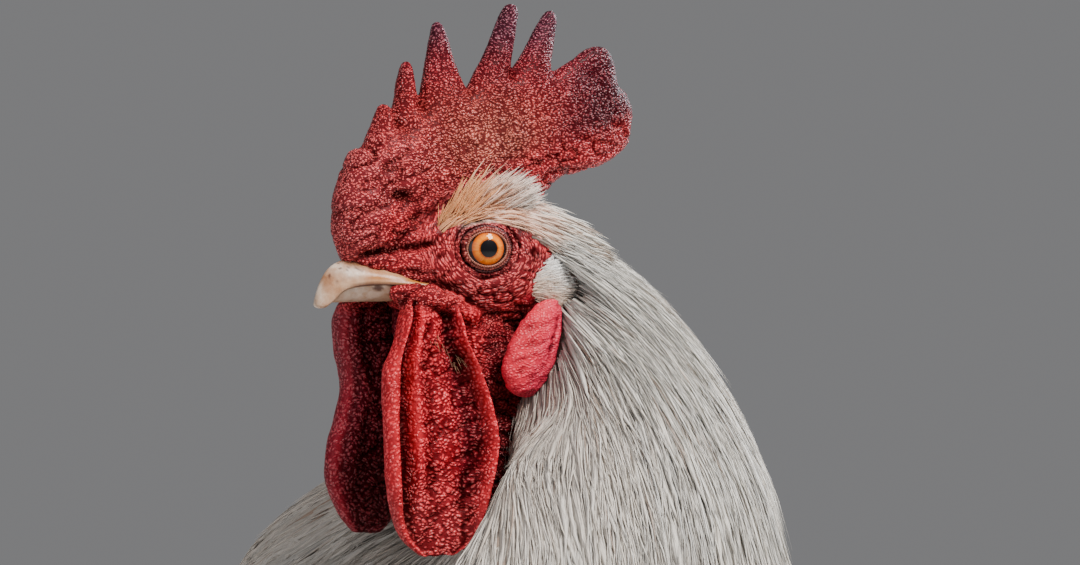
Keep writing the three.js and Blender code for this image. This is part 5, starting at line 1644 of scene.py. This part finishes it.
def barb_fringe(coat, rng, path, half, out, colour, place):
    """Loose barb ends along both edges of one broad feather."""
    count = 110
    along = unit(np.gradient(path, axis=0))
    across = unit(np.cross(along, np.broadcast_to(out, path.shape)))
    at = np.sort(rng.uniform(0.12, 0.99, count))
    stations = np.linspace(0, 1, len(path))
    middle, way, wide, tint = (
        xyz(*(np.interp(at, stations, c) for c in values.T)) for values in (path, along, across, colour)
    )
    reach = np.interp(at, stations, half) * np.where(rng.random(count) < 0.5, -1, 1)
    s = shares(4)
    aim = unit(wide * column(np.sign(reach)) * 0.6 + way)
    long = rng.uniform(3, 7, count) + 0.2 * np.abs(reach)
    fringe = straight(middle + wide * column(reach * 0.72) - way * 1.5, aim, long, s)
    fringe = fringe + way[:, None] * (column(long) * 0.25 * s**2)[..., None]
    thin = column(rng.uniform(0.25, 0.5, count)) * lancet(s, 0.3, 0.6)
    coat.add(fringe, out, thin, thin * 0.6, tint[:, None] * 0.97, np.broadcast_to(place, (count, 2)))


def add_main_tail(coat, rng, side):
    """The broad straight feathers."""
    s = shares(30)
    count = 7
    share = column(np.linspace(0, 1, count))
    rise = np.radians(lerp(26, 72, share))
    reach = 156 * lerp(0.9, 1, np.sin(np.pi * share))
    x = side * lerp(lerp(8, 1.8, share), lerp(13, 2.6, share), s)
    y = TAIL_ROOT[1] + np.cos(rise) * reach * s
    path = xyz(x, y, TAIL_ROOT[2] + 4 + np.sin(rise) * reach * s - 6 * s**2)
    half = 12 * paddle(s, 0.78, 0.4, 0.2) * ragged(s * 40, share * 70, 3, 0.07, side)
    colour = along_each(mixed(rng, count, (WHITE, 2.0), (CREAM, 1.4), (GREY, 0.4)), s, 0.75, 1.02)
    place = xyz(0.5 + side * (0.1 + share[:, 0] * 0.3), 0.2)
    out = unit(np.array([side, 0, 0.25]))
    coat.add(path, out, half, 0.6, colour, place, BROAD, camber=0.12)
    for one in range(count):
        barb_fringe(coat, rng, path[one], half[one], out, colour[one], place[one])


def add_sickles(coat, rng, side):
    """The long curved feathers."""
    s = shares(40)
    out = unit(np.array([side, 0.12, 0.2]))
    for i, (scale, angle, root_x, tip_x, droop) in enumerate(SICKLES):
        scale = scale * rng.uniform(0.97, 1.02)
        up = math.radians(angle + rng.normal(0, 1.2))
        reach = SICKLE_REACH * scale * (1 if side > 0 else 0.97)
        start = np.array([0, TAIL_ROOT[1] + 4, TAIL_ROOT[2] + 16 - i * 1.7])
        path = bezier(
            start,
            start + np.array([0, math.cos(up), math.sin(up)]) * reach * 0.85,
            start + np.array([0, reach * 1.02, reach * 0.86]),
            start + np.array([0, reach * rng.uniform(1.06, 1.14), reach * (0.08 + droop)]),
            s,
        )
        path[..., 0] = side * lerp(root_x, tip_x, s**0.8)
        half = lerp(13.5, 9, i / 8) * lancet(s, 0.35, 0.35, 1.7) * ragged(s * 60, i * 9, 4, 0.1, side)
        colour = along_each(mixed(rng, 1, (WHITE, 2.0), (CREAM, 1.2), (GREY, 0.3)), s, 0.8)
        place = np.array([[0.5 + side * (0.05 + i * 0.045), 0.5]])
        barb_fringe(coat, rng, path[0], half[0], out, colour[0], place)
        coat.add(path, out, half, 0.65, colour, place, BROAD, camber=0.22)


def add_coverts(coat, rng, side):
    """Coverts over the roots of the main feathers."""
    s = shares(14)
    rise, deep = spread(rng, 110, (-6, 0), (80, 1))
    rise, deep = column(np.radians(rise)), column(deep)
    n = len(rise)
    reach = lerp(44, 86, column(rng.random(n)))
    tip_x = lerp(lerp(24, 44, deep), lerp(12, 32, deep), rise / 1.3)
    x = side * lerp(lerp(9, 19, deep), tip_x, s**0.8)
    y = TAIL_ROOT[1] + 4 + np.cos(rise) * reach * s
    z = TAIL_ROOT[2] + 6 + np.sin(rise) * reach * s - 26 * s**2 * np.cos(rise) * reach / 80
    half = column(rng.uniform(5.5, 8.5, n)) * lancet(s, 0.4, 0.5, 1.6)
    colour = along_each(mixed(rng, n, (WHITE, 2.0), (CREAM, 1.6), (GREY, 0.2)), s, 0.8)
    place = np.concatenate([0.5 + side * (0.05 + deep * 0.4), rise / 1.6], -1)
    coat.add(xyz(x, y, z), unit(np.array([side, 0, 0.25])), half, 0.55, colour, place, BROAD, camber=0.2)


def add_tail_end(coat, rng):
    """Feathers that close the tail from behind, and the soft ones under its root."""
    s = shares(16)
    n = 9
    across = column(np.linspace(-1, 1, n))
    rise = np.radians(column(rng.uniform(56, 76, n)))
    reach = column(rng.uniform(100, 132, n))
    y = TAIL_ROOT[1] + 2 + np.cos(rise) * reach * s
    path = xyz(across * lerp(7, 10, s), y, TAIL_ROOT[2] + 2 + np.sin(rise) * reach * s)
    colour = along_each(mixed(rng, n, (WHITE, 2.0), (CREAM, 1.4)), s, 0.9)
    place = xyz(0.5 + 0.1 * across[:, 0], 0.1)
    half = 5.5 * paddle(s, 0.78, 0.4, 0.2)
    coat.add(path, unit(np.array([0, 1, -0.45])), half, 0.5, colour, place, BROAD, camber=0.15)

    s = shares(8)
    n = 130
    start = np.stack([rng.uniform(-15, 15, n), rng.uniform(98, 110, n), rng.uniform(296, 330, n)], -1)
    aim = unit([0, 0.85, -0.3] + rng.normal(0, 0.13, (n, 3)) + start * [0.012, 0, 0])
    path = straight(start, aim, rng.uniform(22, 40, n), s, 0.25)
    half = column(rng.uniform(3, 5, n)) * lancet(s, 0.45, 0.5)
    colour = along_each(mixed(rng, n, (WHITE, 2.4), (CREAM, 1.2)), s, 0.88)
    place = xyz(0.5 + start[:, 0] / 150, start[:, 2] / 330 - 0.4)
    coat.add(path, unit(np.array([0, 0.6, 0.8])), half, 0.45, colour, place)


def build_tail(material):
    rng = np.random.default_rng(50)
    coat = Coat("tail_feathers")
    for side in (1, -1):
        add_main_tail(coat, rng, side)
        add_sickles(coat, rng, side)
        add_coverts(coat, rng, side)
    add_tail_end(coat, rng)
    coat.build(material, ["tail"])


# ---------------------------------------------------------------- pieces: legs

LEG_X, FOOT_Y, FLOOR_GAP = 41, -42, 0.05
# The shank's sections: [x, y, z, half width, half depth].
SHANK = [
    [41, -5, 124, 8, 10], [41, -8, 106, 8, 9.4], [41, -14, 90, 6.3, 7.1], [41, -24, 60, 5.8, 6.5],
    [41, -34, 34, 6.1, 6.7], [41, -40, 18, 6.8, 7.2], [41, -42, 8, 7.6, 8],
]
SPUR = [[39, -24, 48, 4.4], [35, -13, 49, 3.6], [32, -4, 52, 2], [31, 2, 55, 0.5]]  # [x, y, z, radius]
# Toes: [name, degrees outward of straight ahead, length, thickness at the root and the end].
TOES = [
    ("inner", -37, 44, 6, 3.7), ("middle", 3, 60, 6.4, 3.7), ("outer", 40, 47, 6, 3.6),
    ("hind", 188, 27, 5.2, 3.3),
]
# A claw's sections: [mm along the toe from its end, rise, share of its full size].
CLAW = [(-2, 0, 1.0), (2.6, 0.6, 0.97), (5.85, 0.5, 0.76), (10.14, -0.8, 0.45), (13, -2.2, 0.1)]


def plates(along, around_it, pitch, wide, seed):
    """Rows of overlapping plates: how far the surface stands out, from 0 to 1."""
    row = np.floor(around_it / wide)
    down = (along / pitch + 0.5 * (row % 2) + 0.12 * hashed(xyz(row, row, row).astype(int), seed)) % 1
    across = np.abs((around_it / wide) % 1 - 0.5) * 2
    return (0.25 + 0.75 * down) * step(0, 0.16, 1 - down) ** 0.5 * (1 - 0.75 * step(0.82, 1.0, across))


def scaled_tube(rows, count, sides, side, pitch, height, wide):
    """A limb with plates on its front or top and small scales behind or under it."""
    dense, across, up = spine(rows, count, side)
    a = around(sides)[None, :]
    steps = np.linalg.norm(np.diff(dense[:, :3], axis=0), axis=1)
    length = column(np.concatenate([[0], np.cumsum(steps)]))
    front = a - math.pi / 2
    plate = plates(length, np.angle(np.exp(1j * front)) + wide * 50, pitch, wide, 3)
    c, s = np.cos(a)[..., None], np.sin(a)[..., None]
    across, up = across[:, None], up[:, None]
    base = dense[:, None, :3] + across * c * dense[:, None, 3:4] + up * s * dense[:, None, 4:5]
    small = np.clip(0.75 - pebbles(base, 1.7, 13), 0, 1)
    facing = step(-0.15, 0.25, np.cos(front))
    lift = lerp(small * 0.5, plate * height, facing) - height * 0.6
    shade = lerp(0.3 + 0.8 * small, 0.1 + 1.1 * plate, facing)
    return tube(base + unit(across * c + up * s) * lift[..., None]), np.append(shade, [0.8, 0.8])


def toe_rows(side, turn, long, thick, end):
    """A toe's sections, and the way that it points."""
    ahead = np.array([side * math.sin(math.radians(turn)), -math.cos(math.radians(turn)), 0])
    rows = []
    for share in (0, 0.33, 0.66, 1):
        x, y, _ = np.array([side * LEG_X, FOOT_Y, 0]) + ahead * long * share
        r = lerp(thick, end, share)
        joint = 0.35 * math.sin(share * math.pi * 3) ** 2
        rows.append([x, y, r * 0.84 + 1.1 * math.sin(math.pi * share), r + joint - 0.2, r - 0.1])
    return rows, ahead


def foot_pad(side):
    a, b = globe(24, 40)
    middle = np.array([side * LEG_X, FOOT_Y, 6])
    pad = middle + xyz(9.2 * np.sin(a) * np.cos(b), 10.2 * np.sin(a) * np.sin(b), 6.6 * np.cos(a))
    return tube(pad + 0.25 * (0.6 - pebbles(pad, 2.0, 17))[..., None] * unit(pad - middle))


def shaded_piece(name, material, points, polygons, amount, dark, light, replaces):
    """A piece that stands on the floor, dark to light by an amount for each point."""
    points[:, 2] = np.maximum(points[:, 2], FLOOR_GAP)
    obj = mesh_object(name, in_metres(points), polygons)
    paint(obj, "tone", lerp(np.array(dark), np.array(light), column(np.clip(amount, 0, 1))))
    finish_piece(obj, material, replaces)


def build_legs():
    material = leg_material()
    dusk, gold = (0.24, 0.12, 0.05), (0.72, 0.46, 0.15)
    for name, side in SIDES:
        shank = [[side * x, *rest] for x, *rest in SHANK]
        limbs = [scaled_tube(shank, 150, 60, (1, 0, 0), 4.6, 0.75, math.radians(56))]
        for _, turn, long, thick, end in TOES:
            rows, ahead = toe_rows(side, turn, long + 1.5, thick, end)
            across = (-ahead[1], ahead[0], 0)
            limbs.append(scaled_tube(rows, int(long * 2), 34, across, 3.4, 0.6, math.radians(74)))
        pad = foot_pad(side)
        parts, shades = zip(*limbs, (pad, np.full(len(pad[0]), 0.8)))
        points, *polygons = merged(parts)
        nodes = [f"shank_{name}", f"foot_{name}"]
        amount = np.concatenate(shades)
        shaded_piece(f"leg_{name}", material, points, polygons, amount, dusk, gold, nodes)


def build_claws():
    material = horn_material("claw_horn", (0.75, 0.6, 0.45), (0.55, 0.42, 0.32), 0.4)
    dark, pale = (0.22, 0.15, 0.1), (0.62, 0.5, 0.36)
    for name, side in SIDES:
        horns = [(f"spur_{name}", [[side * x, y, z, r, r] for x, y, z, r in SPUR], (1, 0, 0))]
        for toe, turn, long, thick, end in TOES:
            rows, ahead = toe_rows(side, turn, long, thick, end)
            tip = np.array([*rows[-1][:2], end * 0.82])
            claw = [[*(tip + ahead * reach + [0, 0, rise]), 2.4 * r, 2.5 * r] for reach, rise, r in CLAW]
            horns.append((f"claw_{name}_{toe}", claw, (-ahead[1], ahead[0], 0)))
        for node, rows, across in horns:
            points, *polygons = limb(rows, 40, 28, across)
            far = np.linalg.norm(np.maximum(points, [-1e9, -1e9, FLOOR_GAP]) - rows[0][:3], axis=1)
            amount = far / far.max() * 1.3
            shaded_piece(f"horn_{node}", material, points, polygons, amount, dark, pale, [node])


# ---------------------------------------------------------------- camera, light and floor

PHOTO_WIDE = 1080  # pixels across the picture
PIXEL = 0.27  # mm of the head in one pixel
CAMERA_AZIMUTH = math.radians(68)
CAMERA_FAR = 1.4
CAMERA_ABOVE = 0.02
SENSOR = 36.0
RIGHTWARD, DOWNWARD = 0.0224, 0.0093  # metres from between the eyes to the picture's middle


def build_stage():
    away = Vector((math.sin(CAMERA_AZIMUTH), -math.cos(CAMERA_AZIMUTH), 0))
    right = Vector((math.cos(CAMERA_AZIMUTH), math.sin(CAMERA_AZIMUTH), 0))
    up = Vector((0, 0, 1))
    target = Vector(in_metres(EYES)) + right * RIGHTWARD - up * DOWNWARD

    def aimed(name, data, place):
        obj = linked(name, data)
        obj.location = place
        obj.rotation_euler = (target - place).to_track_quat("-Z", "Y").to_euler()
        return obj

    def area(name, place, size, power, colour):
        light = bpy.data.lights.new(name, "AREA")
        light.size, light.energy, light.color = size, power, colour
        aimed(name, light, place)

    data = bpy.data.cameras.new("camera")
    data.sensor_width = SENSOR
    data.lens = SENSOR * CAMERA_FAR / (PHOTO_WIDE * PIXEL * MM)
    bpy.context.scene.camera = aimed("camera", data, target + away * CAMERA_FAR + up * CAMERA_ABOVE)
    area("key", target + away * 0.62 + right * 0.62 + up * 1.15, 0.5, 40, (1, 0.97, 0.93))
    area("fill", target + away * 1.3 - right * 1.1 + up * 0.25, 1.2, 8, (0.95, 0.97, 1))
    area("rim", target - away * 0.9 + right * 1.0 + up * 0.5, 0.7, 26, (0.86, 0.93, 1))

    floor = mesh_object("floor", [(-3, -3, 0), (3, -3, 0), (3, 3, 0), (-3, 3, 0)], [np.array([[0, 1, 2, 3]])])
    floor.data.materials.append(Graph("pale_floor").set(Base_Color=(0.72, 0.71, 0.69, 1), Roughness=0.8))
    world = bpy.data.worlds.new("studio")
    bpy.context.scene.world = world
    world.use_nodes = True
    world.node_tree.nodes["Background"].inputs["Color"].default_value = (0.2, 0.2, 0.205, 1)


def paint_cad():
    """One plain material on the CAD nodes, in case any of them shows."""
    material = Graph("plain").set(Base_Color=(0.7, 0.66, 0.58, 1))
    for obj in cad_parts.values():
        obj.data.materials.clear()
        obj.data.materials.append(material)


# ---------------------------------------------------------------- all together

build_stage()
paint_cad()
build_skin()
build_eyes()
build_lids()
build_bill()
plumage = feather_material()
vanes = vane_material()
build_hackle(plumage)
build_crown(plumage)
build_torso(vanes)
build_saddle(plumage)
build_thighs(plumage)
build_wings(vanes)
build_tail(vanes)
build_legs()
build_claws()
